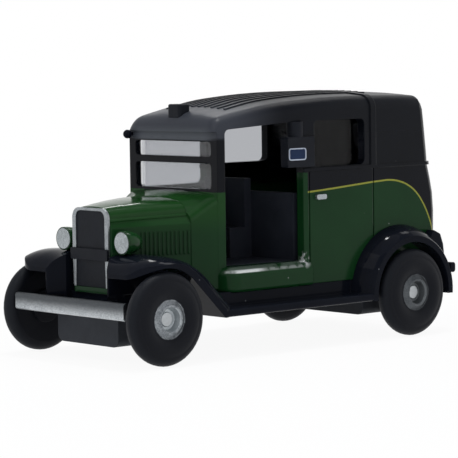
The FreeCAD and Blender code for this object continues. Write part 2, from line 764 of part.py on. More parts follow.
def headlamp_bowl(wings, shell):
    """Bullet-shaped bowl on a foot on the wing, with an arm to the bonnet."""
    face_x = front_axle_x + lamp_face_ahead
    back_x = face_x - lamp_lens_thickness
    rim = lamp_radius
    tail = back_x - lamp_length
    shoulder_x = back_x - lamp_rim
    bullet = Part.Ellipse(V(tail, lamp_y, lamp_z), V(shoulder_x, lamp_y + rim, lamp_z),
                          V(shoulder_x, lamp_y, lamp_z))
    curve = Part.ArcOfEllipse(bullet, 0, math.pi / 2).toShape()
    wire = Part.Wire([Part.LineSegment(V(back_x, lamp_y, lamp_z), V(back_x, lamp_y + rim, lamp_z)).toShape(),
                      Part.LineSegment(V(back_x, lamp_y + rim, lamp_z),
                                       V(shoulder_x, lamp_y + rim, lamp_z)).toShape(),
                      curve,
                      Part.LineSegment(V(tail, lamp_y, lamp_z), V(back_x, lamp_y, lamp_z)).toShape()])
    bowl = Part.Face(wire).revolve(V(0, lamp_y, lamp_z), V(1, 0, 0), 360)
    x = face_x - lamp_arm_setback
    arm = rod(lamp_arm_radius, V(x, lamp_y, lamp_z), V(x, 0, lamp_z))
    foot = rod(lamp_foot_radius, V(x, lamp_y, lamp_z), V(x, lamp_y, floor_z))
    lamp = fuse([bowl, arm, foot]).cut(wings).cut(shell)
    return max(lamp.Solids, key=lambda solid: solid.Volume)


def headlamp_lens():
    """Round glass of one headlamp."""
    face_x = front_axle_x + lamp_face_ahead
    lens = rod(lamp_radius - lamp_rim / 2, V(face_x - lamp_lens_thickness, lamp_y, lamp_z),
               V(face_x, lamp_y, lamp_z))
    rim = [edge for edge in lens.Edges if abs(edge.BoundBox.XMin - face_x) < seat_clearance]
    return lens.makeFillet(lamp_rim / 2, rim)


def wing_section(y, lip_share):
    """Side view of a front wing at one distance from the centre line."""
    length = wing_nose_x - wing_tail_x
    rise = wing_crown_z - board_top_z
    points = []
    for (along, up), (lip_along, lip_up) in zip(wing_crown_shares, wing_lip_shares):
        x_share = along + (lip_along - along) * lip_share
        z_share = up + (lip_up - up) * lip_share
        points.append(V(wing_nose_x - x_share * length, y, board_top_z + z_share * rise))
    curve = Part.BSplineCurve()
    curve.interpolate(points)
    foot = V(points[-1].x, y, board_top_z - board_thickness)
    nose_foot = V(points[0].x, y, board_top_z - board_thickness)
    return Part.Wire([curve.toShape(), Part.LineSegment(points[-1], foot).toShape(),
                      Part.LineSegment(foot, nose_foot).toShape(),
                      Part.LineSegment(nose_foot, points[0]).toShape()])


def front_wing():
    """One front wing: a flowing crown that rolls down to its outer lip."""
    width = wing_outer_y - wing_inner_y
    sections = [wing_section(wing_inner_y + out * width, lip) for out, lip in wing_camber_shares]
    return Part.makeLoft(sections, True, False)


def front_arch():
    """Tool for the wheel opening of a front wing: round ahead, sloping away behind."""
    ax, az = front_axle_x, wheel_radius
    reach = wing_outer_y + overrun
    radius = front_arch_radius
    diagonal = radius * math.sqrt(0.5)
    wheel_room = Part.makeCylinder(radius, reach - chassis_front_half,
                                   V(ax, chassis_front_half, az), V(0, 1, 0))
    foot_x = ax - diagonal - (az + diagonal - base_bottom_z)
    slope = prism("y", [(ax, az), (ax, 0), (foot_x, 0), (foot_x, base_bottom_z),
                        (ax - diagonal, az + diagonal)], chassis_front_half, reach)
    lip_z = board_top_z + wing_crown_shares[0][1] * (wing_crown_z - board_top_z) - wing_nose_depth
    mouth = prism("x", [(wing_valance_y, 0), (reach, 0), (reach, lip_z),
                        (wing_valance_y, lip_z, wing_mouth_radius)], ax, wing_nose_x + overrun)
    below = block(ax + front_block_ahead, wing_nose_x + overrun, 0, reach, 0, wing_valance_low_z)
    return fuse([wheel_room, slope, mouth, below])


def wing_plan():
    """Top view of a front wing: round outer corner, inner side slanting back to the radiator."""
    radiator_y = radiator_half_width + seat_clearance
    points = [(wing_nose_x, wing_valance_y, wing_nose_inner_corner),
              (wing_nose_x, wing_outer_y, wing_nose_corner),
              (wing_tail_x, wing_outer_y), (wing_tail_x, 0), (bonnet_front_x, 0),
              (bonnet_front_x, radiator_y)]
    return prism("z", points, 0, wing_crown_z + overrun)


def rear_wing():
    """One rear wing: crowned arch swept round the wheel, down to a short tail."""
    root_y = cab_half_width - cab_wall / 2
    lip = rear_wing_lip_radius
    root = rear_wing_root_radius
    arch = rear_arch_radius
    mid_y = root_y + (wing_outer_y - root_y) * rear_wing_crown_share
    mid = lip + (root - lip) * (1 - rear_wing_crown_share ** 2)
    ax, az = rear_axle_x, wheel_radius
    outer = Part.Arc(V(ax, root_y, az + root), V(ax, mid_y, az + mid),
                     V(ax, wing_outer_y, az + lip)).toShape()
    wire = Part.Wire([outer,
                      Part.LineSegment(V(ax, wing_outer_y, az + lip),
                                       V(ax, wing_outer_y, az + arch)).toShape(),
                      Part.LineSegment(V(ax, wing_outer_y, az + arch), V(ax, root_y, az + arch)).toShape(),
                      Part.LineSegment(V(ax, root_y, az + arch), V(ax, root_y, az + root)).toShape()])
    ring = Part.Face(wire).revolve(V(ax, 0, az), V(0, 1, 0), 360)
    back = ax - root * max(share for share, _ in rear_wing_tail_shares)
    keep = block(back, ax + root + overrun, 0, wing_outer_y + overrun, base_bottom_z, az + root + overrun)
    return fuse([ring, rear_wing_tail(root_y)]).common(keep)


def rear_wing_tail(root_y):
    """Upright tail behind the rear wheel, between the cab and the round of the wing."""
    out_y = cab_half_width + rear_wing_tail_out
    side = [(rear_axle_x - back * rear_wing_root_radius, wheel_radius + up * rear_wing_root_radius)
            for back, up in rear_wing_tail_shares]
    solid = prism("y", [(rear_axle_x, wheel_radius)] + side, root_y, out_y)
    outer = [edge for edge in solid.Edges
             if all(abs(v.Y - out_y) < seat_clearance and v.X < side[0][0] for v in edge.Vertexes)]
    solid = solid.makeFillet(rear_wing_tail_round, outer)
    wheel_room = Part.makeCylinder(rear_arch_radius, out_y, V(rear_axle_x, 0, wheel_radius), V(0, 1, 0))
    return solid.cut(wheel_room)


def running_board():
    """Flat board between the wings on one side."""
    front_x = wing_tail_x + (1 - wing_lip_shares[-1][0]) * (wing_nose_x - wing_tail_x)
    rear_x = rear_axle_x + rear_arch_radius
    board = block(rear_x, front_x, chassis_front_half, wing_outer_y, board_top_z - board_thickness,
                  board_top_z)
    outer = [edge for edge in board.Edges
             if all(abs(v.Y - wing_outer_y) < seat_clearance for v in edge.Vertexes)
             and edge.BoundBox.XLength > wing_arch_gap]
    return board.makeFillet(board_edge_round, outer)


def chassis():
    """Deck under the body that carries wings and boards."""
    step_x = front_axle_x - chassis_step_behind
    narrow = block(step_x, bonnet_front_x, -chassis_front_half, chassis_front_half, base_top_z,
                   bonnet_bottom_z)
    wide = block(tail_x, step_x, -chassis_rear_half, chassis_rear_half, base_top_z, sill_z)
    return [narrow, wide]


def wing_unit(tools):
    """Front wings, running boards, rear wings and deck in one casting, less the tools."""
    side = fuse([front_wing().common(wing_plan()), running_board()]).cut(front_arch())
    side = fuse([side, rear_wing()])
    unit = fuse(chassis() + [side, mirrored(side)])
    for tool in tools:
        unit = unit.cut(tool)
    return unit


def axle_tunnel(x):
    """Bore for one axle with its running clearance."""
    reach = cab_half_width + overrun
    return Part.makeCylinder(axle_radius + axle_running_clearance, reach + reach,
                             V(x, -reach, wheel_radius), V(0, 1, 0))


def base_form():
    """Flat tray with a deep block at each axle, before the axle bores."""
    front = prism("x", [(-front_block_half, block_bottom_z, block_corner),
                        (front_block_half, block_bottom_z, block_corner),
                        (front_block_half, base_top_z), (-front_block_half, base_top_z)],
                  front_axle_x - front_block_behind, front_axle_x + front_block_ahead)
    rear = prism("x", [(-rear_block_half, rear_block_bottom_z, block_corner),
                       (rear_block_half, rear_block_bottom_z, block_corner),
                       (rear_block_half, base_top_z), (-rear_block_half, base_top_z)],
                 rear_axle_x - rear_block_behind, rear_axle_x + rear_block_ahead)
    tray = block(rear_axle_x, front_axle_x, -base_half_width, base_half_width, base_bottom_z, base_top_z)
    plate = fuse([tray, front, rear])
    front_gap = block(front_axle_x - chassis_step_behind, front_axle_x + overrun, chassis_front_half,
                      cab_half_width, base_bottom_z, base_top_z)
    return plate.cut(front_gap).cut(mirrored(front_gap))


def baseplate():
    """Plain underside with the two bores that carry the axles."""
    return base_form().cut(axle_tunnel(front_axle_x)).cut(axle_tunnel(rear_axle_x))


def rivet(x):
    """Round head that closes the base onto the body."""
    head = Part.makeCylinder(rivet_radius, rivet_height, V(x, 0, base_bottom_z - rivet_height))
    rim = [edge for edge in head.Edges if abs(edge.BoundBox.ZMax - (base_bottom_z - rivet_height))
           < seat_clearance]
    return head.makeFillet(rivet_height / 2, rim)


def bumper(face_x, back_x, half, low_z, high_z, thickness, seat_x):
    """Straight bar with two irons back to the chassis."""
    direction = 1 if face_x > back_x else -1
    low_x, high_x = sorted((face_x, face_x - direction * thickness))
    bar = prism("y", [(low_x, low_z, bumper_corner), (high_x, low_z, bumper_corner),
                      (high_x, high_z, bumper_corner), (low_x, high_z, bumper_corner)], -half, half)
    middle = (low_z + high_z) / 2
    inner_x = (low_x + high_x) / 2
    iron_low, iron_high = sorted((inner_x, seat_x))
    iron = block(iron_low, iron_high, bumper_iron_y - bumper_iron_width / 2,
                 bumper_iron_y + bumper_iron_width / 2, middle - bumper_iron_height / 2,
                 middle + bumper_iron_height / 2)
    return fuse([bar, iron, mirrored(iron)])


def wheel_profile():
    """Cross-section of a wheel in radius and distance out: lists of line or arc points."""
    outer = wheel_outer_y
    inner = wheel_inner_y
    face = outer - tyre_wall_bulge
    tread = wheel_radius
    wall = tread - tyre_shoulder
    diagonal = tyre_shoulder * (1 - math.sqrt(0.5))
    ring_top = face + hub_ring_height
    dish = face - hub_dish_depth
    ring_mid = hub_dish_radius + hub_ring_land
    wall_y = outer - hub_ring_height
    return [[(axle_radius, dish)],
            [(hub_dish_radius - hub_ring_height, dish)],
            [(hub_dish_radius, ring_top - hub_ring_height)],
            [((hub_dish_radius + ring_mid) / 2, ring_top), (ring_mid, ring_top - hub_ring_height / 2)],
            [(hub_ring_radius, face - hub_ring_height)],
            [((hub_ring_radius + wall) / 2, outer), (wall, wall_y)],
            [(tread - diagonal, wall_y - diagonal), (tread, outer - tyre_shoulder)],
            [(tread, inner + tyre_shoulder)],
            [(tread - diagonal, inner + diagonal), (wall, inner)],
            [(hub_boss_radius, inner + hub_boss_height)],
            [(hub_boss_radius, inner)],
            [(axle_radius, inner)]]


def wheel(x, side):
    """One-piece wheel: tyre, raised hub ring and dished centre, facing outwards."""
    stretches = [[V(radius, out, 0) for radius, out in stretch] for stretch in wheel_profile()]
    stretches.append(stretches[0])
    edges = []
    for before, stretch in zip(stretches, stretches[1:]):
        if len(stretch) > 1:
            edges.append(Part.Arc(before[-1], stretch[0], stretch[1]).toShape())
        else:
            edges.append(Part.LineSegment(before[-1], stretch[0]).toShape())
    solid = Part.Face(Part.Wire(edges)).revolve(V(0, 0, 0), V(0, 1, 0), 360)
    solid.translate(V(x, 0, wheel_radius))
    return solid if side > 0 else mirrored(solid)


def axle(x):
    """Steel pin right through both wheels."""
    half = wheel_outer_y - tyre_wall_bulge - hub_dish_depth + axle_end_proud
    pin = Part.makeCylinder(axle_radius, half + half, V(x, -half, wheel_radius), V(0, 1, 0))
    rims = [edge for edge in pin.Edges if edge.BoundBox.YLength < seat_clearance]
    return pin.makeFillet(axle_end_proud / 2, rims)


def taximeter(shell):
    """Meter case beside the platform, lapping the door pillar, with its flag drum on top."""
    pillar_y = cab_half_width
    out_y = pillar_y + meter_out
    rear_x = platform_rear_x - meter_lap
    front_x = platform_rear_x + meter_ahead
    case = prism("y", [(rear_x, meter_low_z, meter_corner), (front_x, meter_low_z, meter_corner),
                       (front_x, meter_high_z, meter_corner), (rear_x, meter_high_z, meter_corner)],
                 pillar_y - meter_depth, out_y)
    drum = Part.makeCylinder(flag_radius, flag_top_z - meter_high_z,
                             V(platform_rear_x + flag_ahead, out_y - flag_radius, meter_high_z))
    meter = fuse([case, drum]).cut(shell)
    inside = cab_form(cab_wall, screen_wall)
    inside = inside.common(block(tail_x, platform_rear_x, 0, cab_half_width, sill_z, roof_crown_z))
    return meter.cut(inside)


def roof_sign(shell):
    """Small rounded sign case on the front of the roof."""
    front = screen_x - sign_front_setback
    top_z = roof_z(front) + sign_height
    case = block(front - sign_length, front, -sign_half_width, sign_half_width,
                 roof_z(front) - cab_wall / 2, top_z)
    upright = [edge for edge in case.Edges if edge.BoundBox.ZLength > sign_height]
    case = case.makeFillet(sign_corner, upright)
    top = [edge for edge in case.Edges if edge.BoundBox.ZMin > roof_z(front)]
    sign = case.makeFillet(sign_corner / 2, top).cut(shell)
    return max(sign.Solids, key=lambda solid: solid.BoundBox.ZMax)


def screen_mirror(shell):
    """Round mirror on a short stem beside the top of the windscreen."""
    centre = V(screen_x + mirror_out, -mirror_y, mirror_z)
    ball = Part.makeSphere(mirror_radius, centre)
    stem = rod(mirror_stem_radius, centre, V(screen_x - cab_wall / 2, -mirror_y, mirror_z))
    return fuse([ball, stem]).cut(shell)


def handle(x, side, shell):
    """Short bar door handle lying on the body side."""
    reach = cab_half_width + handle_proud
    bar = prism("y", [(x, handle_z - handle_height / 2, handle_height / 2 - seat_clearance),
                      (x, handle_z + handle_height / 2, handle_height / 2 - seat_clearance),
                      (x - handle_length, handle_z + handle_height / 2, handle_height / 2 - seat_clearance),
                      (x - handle_length, handle_z - handle_height / 2, handle_height / 2 - seat_clearance)],
                cab_half_width - cab_wall / 2, reach)
    bar = bar if side > 0 else mirrored(bar)
    return bar.cut(shell)


def build():
    """All pieces by name."""
    form = cab_form(0, 0)
    body = body_casting()
    wings = wing_unit([form, bonnet(), step(), base_form(), axle_tunnel(front_axle_x),
                       axle_tunnel(rear_axle_x)])
    tail_bar = bumper(rear_axle_x - rear_overhang, rear_axle_x, rear_bumper_half, rear_bumper_low_z,
                      rear_bumper_high_z, rear_bumper_thickness, tail_x)
    parts = {
        "body_casting": body,
        "wing_unit": wings,
        "baseplate": baseplate(),
        "front_rivet": rivet(front_axle_x - rivet_inset),
        "rear_rivet": rivet(rear_axle_x + rivet_inset),
        "glazing": glazing(),
        "interior": interior(),
        "steering_wheel": steering_wheel(body),
        "radiator_shell": radiator_shell(),
        "radiator_grille": radiator_grille(),
        "number_plate": number_plate(),
        "front_bumper": bumper(front_axle_x + front_overhang, front_axle_x, bumper_half, bumper_low_z,
                               bumper_high_z, bumper_thickness, bonnet_front_x),
        "rear_bumper": tail_bar.cut(form).cut(wings),
        "roof_sign": roof_sign(body),
        "taximeter": taximeter(body),
        "screen_mirror": screen_mirror(body),
        "front_axle": axle(front_axle_x),
        "rear_axle": axle(rear_axle_x),
    }
    lamp = headlamp_bowl(wings, body)
    lens = headlamp_lens()
    parts["headlamp_left"] = lamp
    parts["headlamp_right"] = mirrored(lamp)
    parts["headlamp_lens_left"] = lens
    parts["headlamp_lens_right"] = mirrored(lens)
    handle_x = platform_rear_x - handle_behind_edge
    parts["door_handle_left"] = handle(handle_x, 1, body)
    parts["door_handle_right"] = handle(handle_x, -1, body)
    for name, x in (("front", front_axle_x), ("rear", rear_axle_x)):
        parts[name + "_wheel_left"] = wheel(x, 1)
        parts[name + "_wheel_right"] = wheel(x, -1)
    return parts


def main():
    os.makedirs("parts", exist_ok=True)
    for name, shape in build().items():
        solids = shape.Solids
        whole = solids[0] if len(solids) == 1 else shape
        print(name, len(solids), round(whole.Volume, 3), whole.isValid())
        whole.exportStep(os.path.join("parts", name + ".step"))


main()
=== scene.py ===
"""Studio view of a small die-cast taxi cab of the 1930s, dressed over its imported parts.

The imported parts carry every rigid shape. This script gives each of them its finish,
adds the small applied pieces, and sets the floor, the lamps and the camera.
Lengths are metres in the frame of the parts. A name that ends in mm is millimetres.
"""
from __future__ import annotations

import logging
import math
from dataclasses import dataclass
from enum import Enum
from typing import Sequence

import bpy
from mathutils import Matrix, Vector

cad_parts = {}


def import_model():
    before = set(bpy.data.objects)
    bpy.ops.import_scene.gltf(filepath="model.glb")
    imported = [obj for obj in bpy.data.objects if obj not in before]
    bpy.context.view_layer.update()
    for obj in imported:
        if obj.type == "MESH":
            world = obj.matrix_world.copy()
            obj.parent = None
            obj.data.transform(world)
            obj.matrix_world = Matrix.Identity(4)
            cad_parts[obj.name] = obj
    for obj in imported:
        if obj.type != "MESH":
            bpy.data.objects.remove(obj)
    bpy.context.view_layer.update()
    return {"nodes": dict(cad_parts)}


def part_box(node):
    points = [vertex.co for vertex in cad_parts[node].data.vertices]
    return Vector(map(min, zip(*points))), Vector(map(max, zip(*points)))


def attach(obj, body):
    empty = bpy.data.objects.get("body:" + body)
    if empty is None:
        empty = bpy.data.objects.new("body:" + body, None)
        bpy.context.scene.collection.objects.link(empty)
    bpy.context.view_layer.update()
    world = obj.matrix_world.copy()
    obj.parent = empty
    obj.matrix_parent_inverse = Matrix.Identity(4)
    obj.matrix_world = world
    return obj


LOG = logging.getLogger("taxi")
MM = 0.001
GREEN_ENAMEL = "green_enamel"
# metres within which two places count as the same
SAME_PLACE = 1e-7
# a face looks one way where the cosine between its normal and that way is above this
FACING = 0.9
BEVEL_SAMPLES = 6

Colour = tuple[float, float, float]
Point = tuple[float, float, float]
Socket = bpy.types.NodeSocket
# two ends: in a ramp, the value that gives 0 and the one that gives 1, in either order
Span = tuple[float, float]


class Side(Enum):
    """Side of the car: LEFT is the kerb side with the luggage platform."""

    LEFT = 1
    RIGHT = -1


def srgb(red: int, green: int, blue: int) -> Colour:
    """Linear colour of an 8-bit display colour.

    Args:
        red: Red, 0 to 255.
        green: Green, 0 to 255.
        blue: Blue, 0 to 255.

    Returns:
        The colour in linear light.
    """
    def linear(value: int) -> float:
        """Linear value of one 8-bit channel."""
        share = value / 255
        return share / 12.92 if share <= 0.04045 else ((share + 0.055) / 1.055) ** 2.4

    return linear(red), linear(green), linear(blue)


def toned(colour: Colour, factor: float, lift: float = 0.0) -> Colour:
    """A linear colour with each channel multiplied by a factor and then lifted."""
    red, green, blue = colour
    return red * factor + lift, green * factor + lift, blue * factor + lift


def around(middle: float, reach: float) -> Span:
    """Span with its middle at one value and its ends a reach away; a negative reach swaps them."""
    return middle - reach, middle + reach


def direction(azimuth: float, elevation: float) -> Vector:
    """Unit vector from the car towards a place round it.

    Args:
        azimuth: Degrees round the car: 90 is ahead of it, 180 on its left.
        elevation: Degrees above the floor.

    Returns:
        The vector.
    """
    turn = math.radians(azimuth)
    tilt = math.radians(elevation)
    return Vector((math.sin(turn) * math.cos(tilt), -math.cos(turn) * math.cos(tilt), math.sin(tilt)))


@dataclass(frozen=True)
class Pattern:
    """Cloudy pattern: its features per millimetre and its octaves."""

    scale: float
    detail: float = 3.0


@dataclass(frozen=True)
class Dust:
    """Sparse pale specks in the paint. The radii are shares of a cell."""

    cells_per_mm: float
    radii: Span
    strength: float
    colour: Colour


class Graph:
    """Adds and links the nodes of one tree."""

    def __init__(self, tree: bpy.types.NodeTree) -> None:
        """Keeps the tree of a material or of the room, which the nodes go into."""
        self.tree = tree

    def add(self, kind: str, **settings: object) -> bpy.types.Node:
        """Adds a node and sets its properties.

        Args:
            kind: Node type without its ShaderNode prefix.
            settings: Property names and values.

        Returns:
            The new node.
        """
        node = self.tree.nodes.new("ShaderNode" + kind)
        for key, value in settings.items():
            setattr(node, key, value)
        return node

    def feed(self, socket: Socket, value: object) -> None:
        """Links a socket to another, or sets its value.

        Args:
            socket: Input socket.
            value: Output socket or plain value.
        """
        if isinstance(value, bpy.types.NodeSocket):
            self.tree.links.new(value, socket)
        else:
            socket.default_value = value

    def feed_colour(self, socket: Socket, value: object) -> None:
        """Links a colour socket to another, or sets its opaque colour."""
        self.feed(socket, value if isinstance(value, bpy.types.NodeSocket) else (*value, 1.0))

    def split(self, vector: Socket) -> tuple[Socket, Socket, Socket]:
        """Splits a vector.

        Args:
            vector: Socket to read.

        Returns:
            Its three parts.
        """
        node = self.add("SeparateXYZ")
        self.feed(node.inputs["Vector"], vector)
        return node.outputs["X"], node.outputs["Y"], node.outputs["Z"]

    def maths(self, operation: str, *values: object) -> Socket:
        """One arithmetic step.

        Args:
            operation: Name of the operation, such as MULTIPLY.
            values: Up to three sockets or numbers.

        Returns:
            The result.
        """
        node = self.add("Math", operation=operation)
        for socket, value in zip(node.inputs, values):
            self.feed(socket, value)
        return node.outputs["Value"]

    def product(self, first: Socket, *others: object) -> Socket:
        """Product of several shares.

        Args:
            first: The first share.
            others: Sockets or numbers, multiplied in order.

        Returns:
            The product.
        """
        for other in others:
            first = self.maths("MULTIPLY", first, other)
        return first

    def between(self, share: Socket, first: Socket, second: Socket) -> Socket:
        """Blend of two numbers, the first where the share is 0 and the second where it is 1."""
        return self.maths("MULTIPLY_ADD", share, self.maths("SUBTRACT", second, first), first)

    def vary(self, cloud: Socket, middle: float, width: float) -> Socket:
        """A number that a pattern from 0 to 1 moves about its middle, over the whole width."""
        return self.maths("MULTIPLY_ADD", cloud, width, middle - width / 2)

    def ramp(self, value: Socket, span: Span) -> Socket:
        """Goes smoothly from 0 at the span's start to 1 at its end, and stays there.

        Args:
            value: Socket to read.
            span: Value that gives 0 and value that gives 1.

        Returns:
            The share.
        """
        low, high = span
        node = self.add("MapRange", interpolation_type="SMOOTHSTEP")
        self.feed(node.inputs["Value"], value)
        self.feed(node.inputs["From Min"], low)
        self.feed(node.inputs["From Max"], high)
        return node.outputs["Result"]

    def mix(self, share: object, first: object, second: object) -> Socket:
        """Blend of two colours.

        Args:
            share: Share of the second colour.
            first: Colour or socket.
            second: Colour or socket.

        Returns:
            The blend.
        """
        node = self.add("Mix", data_type="RGBA")
        self.feed(node.inputs[0], share)
        self.feed_colour(node.inputs[6], first)
        self.feed_colour(node.inputs[7], second)
        return node.outputs[2]


class FinishGraph(Graph):
    """Nodes of one material, round its principled shader."""

    def __init__(self, name: str) -> None:
        """Starts a material, with the object's coordinates in millimetres at hand.

        Args:
            name: Name of the material.
        """
        self.material = bpy.data.materials.new(name)
        self.material.use_nodes = True
        super().__init__(self.material.node_tree)
        self.shader = self.tree.nodes["Principled BSDF"]
        mapping = self.add("Mapping")
        self.feed(mapping.inputs["Vector"], self.add("TexCoord").outputs["Object"])
        self.feed(mapping.inputs["Scale"], (1 / MM, 1 / MM, 1 / MM))
        self.place = mapping.outputs["Vector"]

    def noise(self, pattern: Pattern) -> Socket:
        """Lays a cloudy pattern.

        Args:
            pattern: Its scale and detail.

        Returns:
            Values round one half.
        """
        node = self.add("TexNoise")
        self.feed(node.inputs["Vector"], self.place)
        self.feed(node.inputs["Scale"], pattern.scale)
        self.feed(node.inputs["Detail"], pattern.detail)
        return node.outputs["Fac"]

    def near(self, point: Point, reach_mm: Span) -> Socket:
        """Share by the distance from a point.

        Args:
            point: The point in millimetres.
            reach_mm: Distance that gives 0 and distance that gives 1.

        Returns:
            The share.
        """
        gap = self.add("VectorMath", operation="DISTANCE")
        self.feed(gap.inputs[0], self.place)
        self.feed(gap.inputs[1], point)
        return self.ramp(gap.outputs["Value"], reach_mm)

    def clouded(self, cloud: Socket, colour: Colour, tones: Span) -> Socket:
        """A colour that a pattern moves between a darker and a paler tone, given as factors."""
        deep, pale = tones
        return self.mix(cloud, toned(colour, deep), toned(colour, pale))

    def dusted(self, colour: Socket, dust: Dust) -> Socket:
        """A colour with dust specks on it.

        Args:
            colour: Colour of the paint.
            dust: Size, strength and colour of the specks.

        Returns:
            The dusted colour.
        """
        cells = self.add("TexVoronoi")
        self.feed(cells.inputs["Vector"], self.place)
        self.feed(cells.inputs["Scale"], dust.cells_per_mm)
        specks = self.ramp(cells.outputs["Distance"], dust.radii)
        return self.mix(self.maths("MULTIPLY", specks, dust.strength), colour, dust.colour)

    def soften(self, height: Socket, height_mm: float, edge_mm: float) -> None:
        """Rounds the edges in the shading and lays a fine bump over them.

        Args:
            height: Pattern of the bump.
            height_mm: Height of the bump.
            edge_mm: Radius of the softened edges.
        """
        bevel = self.add("Bevel", samples=BEVEL_SAMPLES)
        self.feed(bevel.inputs["Radius"], edge_mm * MM)
        bump = self.add("Bump")
        self.feed(bump.inputs["Height"], height)
        self.feed(bump.inputs["Distance"], height_mm * MM)
        self.feed(bump.inputs["Normal"], bevel.outputs["Normal"])
        self.feed(self.shader.inputs["Normal"], bump.outputs["Normal"])

    def finish(self, colour: object, roughness: object, **sockets: object) -> bpy.types.Material:
        """Feeds the shader.

        Args:
            colour: Base colour or socket.
            roughness: Roughness or socket.
            sockets: Further shader sockets, with underscores for spaces.

        Returns:
            The finished material.
        """
        self.feed_colour(self.shader.inputs["Base Color"], colour)
        self.feed(self.shader.inputs["Roughness"], roughness)
        for key, value in sockets.items():
            self.feed(self.shader.inputs[key.replace("_", " ")], value)
        return self.material


@dataclass(frozen=True)
class EnamelPaint:
    """Gloss enamel in one colour, with a faint ripple and a few dust specks."""

    name: str
    colour: Colour
    ior: float = 1.2
    cloud: Pattern = Pattern(0.45)
    deep: float = 0.75
    pale: float = 1.3
    pale_lift: float = 0.001
    dust: Dust = Dust(0.9, (0.045, 0.027), 0.35, srgb(150, 152, 155))
    gloss: Pattern = Pattern(1.6)
    roughness: float = 0.08
    rough_width: float = 0.1
    ripple: Pattern = Pattern(1.1, 2.0)
    ripple_mm: float = 0.004
    edge_mm: float = 0.07

    def material(self) -> bpy.types.Material:
        """Builds the enamel.

        Returns:
            The material.
        """
        graph = FinishGraph(self.name)
        pale = toned(self.colour, self.pale, self.pale_lift)
        colour = graph.mix(graph.noise(self.cloud), toned(self.colour, self.deep), pale)
        colour = graph.dusted(colour, self.dust)
        rough = graph.vary(graph.noise(self.gloss), self.roughness, self.rough_width)
        graph.soften(graph.noise(self.ripple), self.ripple_mm, self.edge_mm)
        return graph.finish(colour, rough, IOR=self.ior)


@dataclass(frozen=True)
class SatinBlack:
    """Moulded or matt-sprayed satin colour, mostly black, with a fine grain."""

    name: str
    colour: Colour
    roughness: float = 0.5
    rough_width: float = 0.2
    gloss: Pattern = Pattern(3.0)
    cloud: Pattern = Pattern(0.8, 4.0)
    tones: Span = (0.7, 1.4)
    grain: Pattern = Pattern(7.0, 4.0)
    grain_mm: float = 0.006
    edge_mm: float = 0.06
    ior: float = 1.22

    def material(self) -> bpy.types.Material:
        """Builds the satin finish.

        Returns:
            The material.
        """
        graph = FinishGraph(self.name)
        colour = graph.clouded(graph.noise(self.cloud), self.colour, self.tones)
        rough = graph.vary(graph.noise(self.gloss), self.roughness, self.rough_width)
        graph.soften(graph.noise(self.grain), self.grain_mm, self.edge_mm)
        return graph.finish(colour, rough, IOR=self.ior)


@dataclass(frozen=True)
class Flakes:
    """Fine flakes and soft clouds of silver paint, which share its brightness."""

    flake: Pattern = Pattern(22.0, 2.0)
    flake_span: Span = (0.38, 0.64)
    cloud: Pattern = Pattern(1.4, 4.0)
    cloud_span: Span = (0.3, 0.7)
    flake_share: float = 0.6

    def build(self, graph: FinishGraph) -> tuple[Socket, Socket, Socket]:
        """Lays the two patterns.

        Args:
            graph: Material that is being built.

        Returns:
            The flakes, the clouds, and the brightness from both.
        """
        flakes = graph.ramp(graph.noise(self.flake), self.flake_span)
        cloud = graph.ramp(graph.noise(self.cloud), self.cloud_span)
        rest = graph.maths("MULTIPLY", cloud, 1 - self.flake_share)
        return flakes, cloud, graph.maths("MULTIPLY_ADD", flakes, self.flake_share, rest)


@dataclass(frozen=True)
class SilverPaint:
    """Silver paint with visible flakes, darker in clouds and, if asked, with painted shade above a height.
    """

    name: str
    colour: Colour = srgb(168, 173, 176)
    shade: Colour = srgb(124, 129, 133)
    flakes: Flakes = Flakes()
    roughness: float = 0.44
    flake_gloss: float = 0.14
    metallic: float = 0.85
    grain: Pattern = Pattern(9.0)
    grain_mm: float = 0.004
    edge_mm: float = 0.06
    # painted shade: above this height the silver is darkened, for the shade on the upper face of a bar
    painted_shade_above_mm: float | None = None
    painted_shade_reach_mm: float = 0.4
    painted_shade_ragged_mm: float = 0.08
    painted_shade_share: float = 0.95
    painted_shade_colour: Colour = srgb(60, 64, 68)

    def material(self) -> bpy.types.Material:
        """Builds the silver.

        Returns:
            The material.
        """
        graph = FinishGraph(self.name)
        flakes, cloud, brightness = self.flakes.build(graph)
        colour = graph.mix(brightness, self.shade, self.colour)
        # painted shade on the upper face, mixed into the colour by height
        if self.painted_shade_above_mm is not None:
            _, _, up = graph.split(graph.place)
            ragged = graph.maths("MULTIPLY_ADD", cloud, self.painted_shade_ragged_mm, up)
            painted_shade = graph.ramp(ragged, around(self.painted_shade_above_mm, self.painted_shade_reach_mm))
            colour = graph.mix(graph.maths("MULTIPLY", painted_shade, self.painted_shade_share), colour, self.painted_shade_colour)
        rough = graph.maths("MULTIPLY_ADD", flakes, -self.flake_gloss, self.roughness)
        graph.soften(graph.noise(self.grain), self.grain_mm, self.edge_mm)
        return graph.finish(colour, rough, Metallic=self.metallic)


@dataclass(frozen=True)
class BrightSteel:
    """Bright steel with cloudy scuffs."""

    name: str
    colour: Colour = srgb(184, 188, 191)
    tones: Span = (0.65, 1.0)
    scuff: Pattern = Pattern(6.0, 5.0)
    scuff_mm: float = 0.004
    roughness: float = 0.325
    rough_width: float = 0.25
    metallic: float = 1.0
    edge_mm: float = 0.05

    def material(self) -> bpy.types.Material:
        """Builds the steel.

        Returns:
            The material.
        """
        graph = FinishGraph(self.name)
        scuff = graph.noise(self.scuff)
        colour = graph.clouded(scuff, self.colour, self.tones)
        rough = graph.vary(scuff, self.roughness, self.rough_width)
        graph.soften(scuff, self.scuff_mm, self.edge_mm)
        return graph.finish(colour, rough, Metallic=self.metallic)


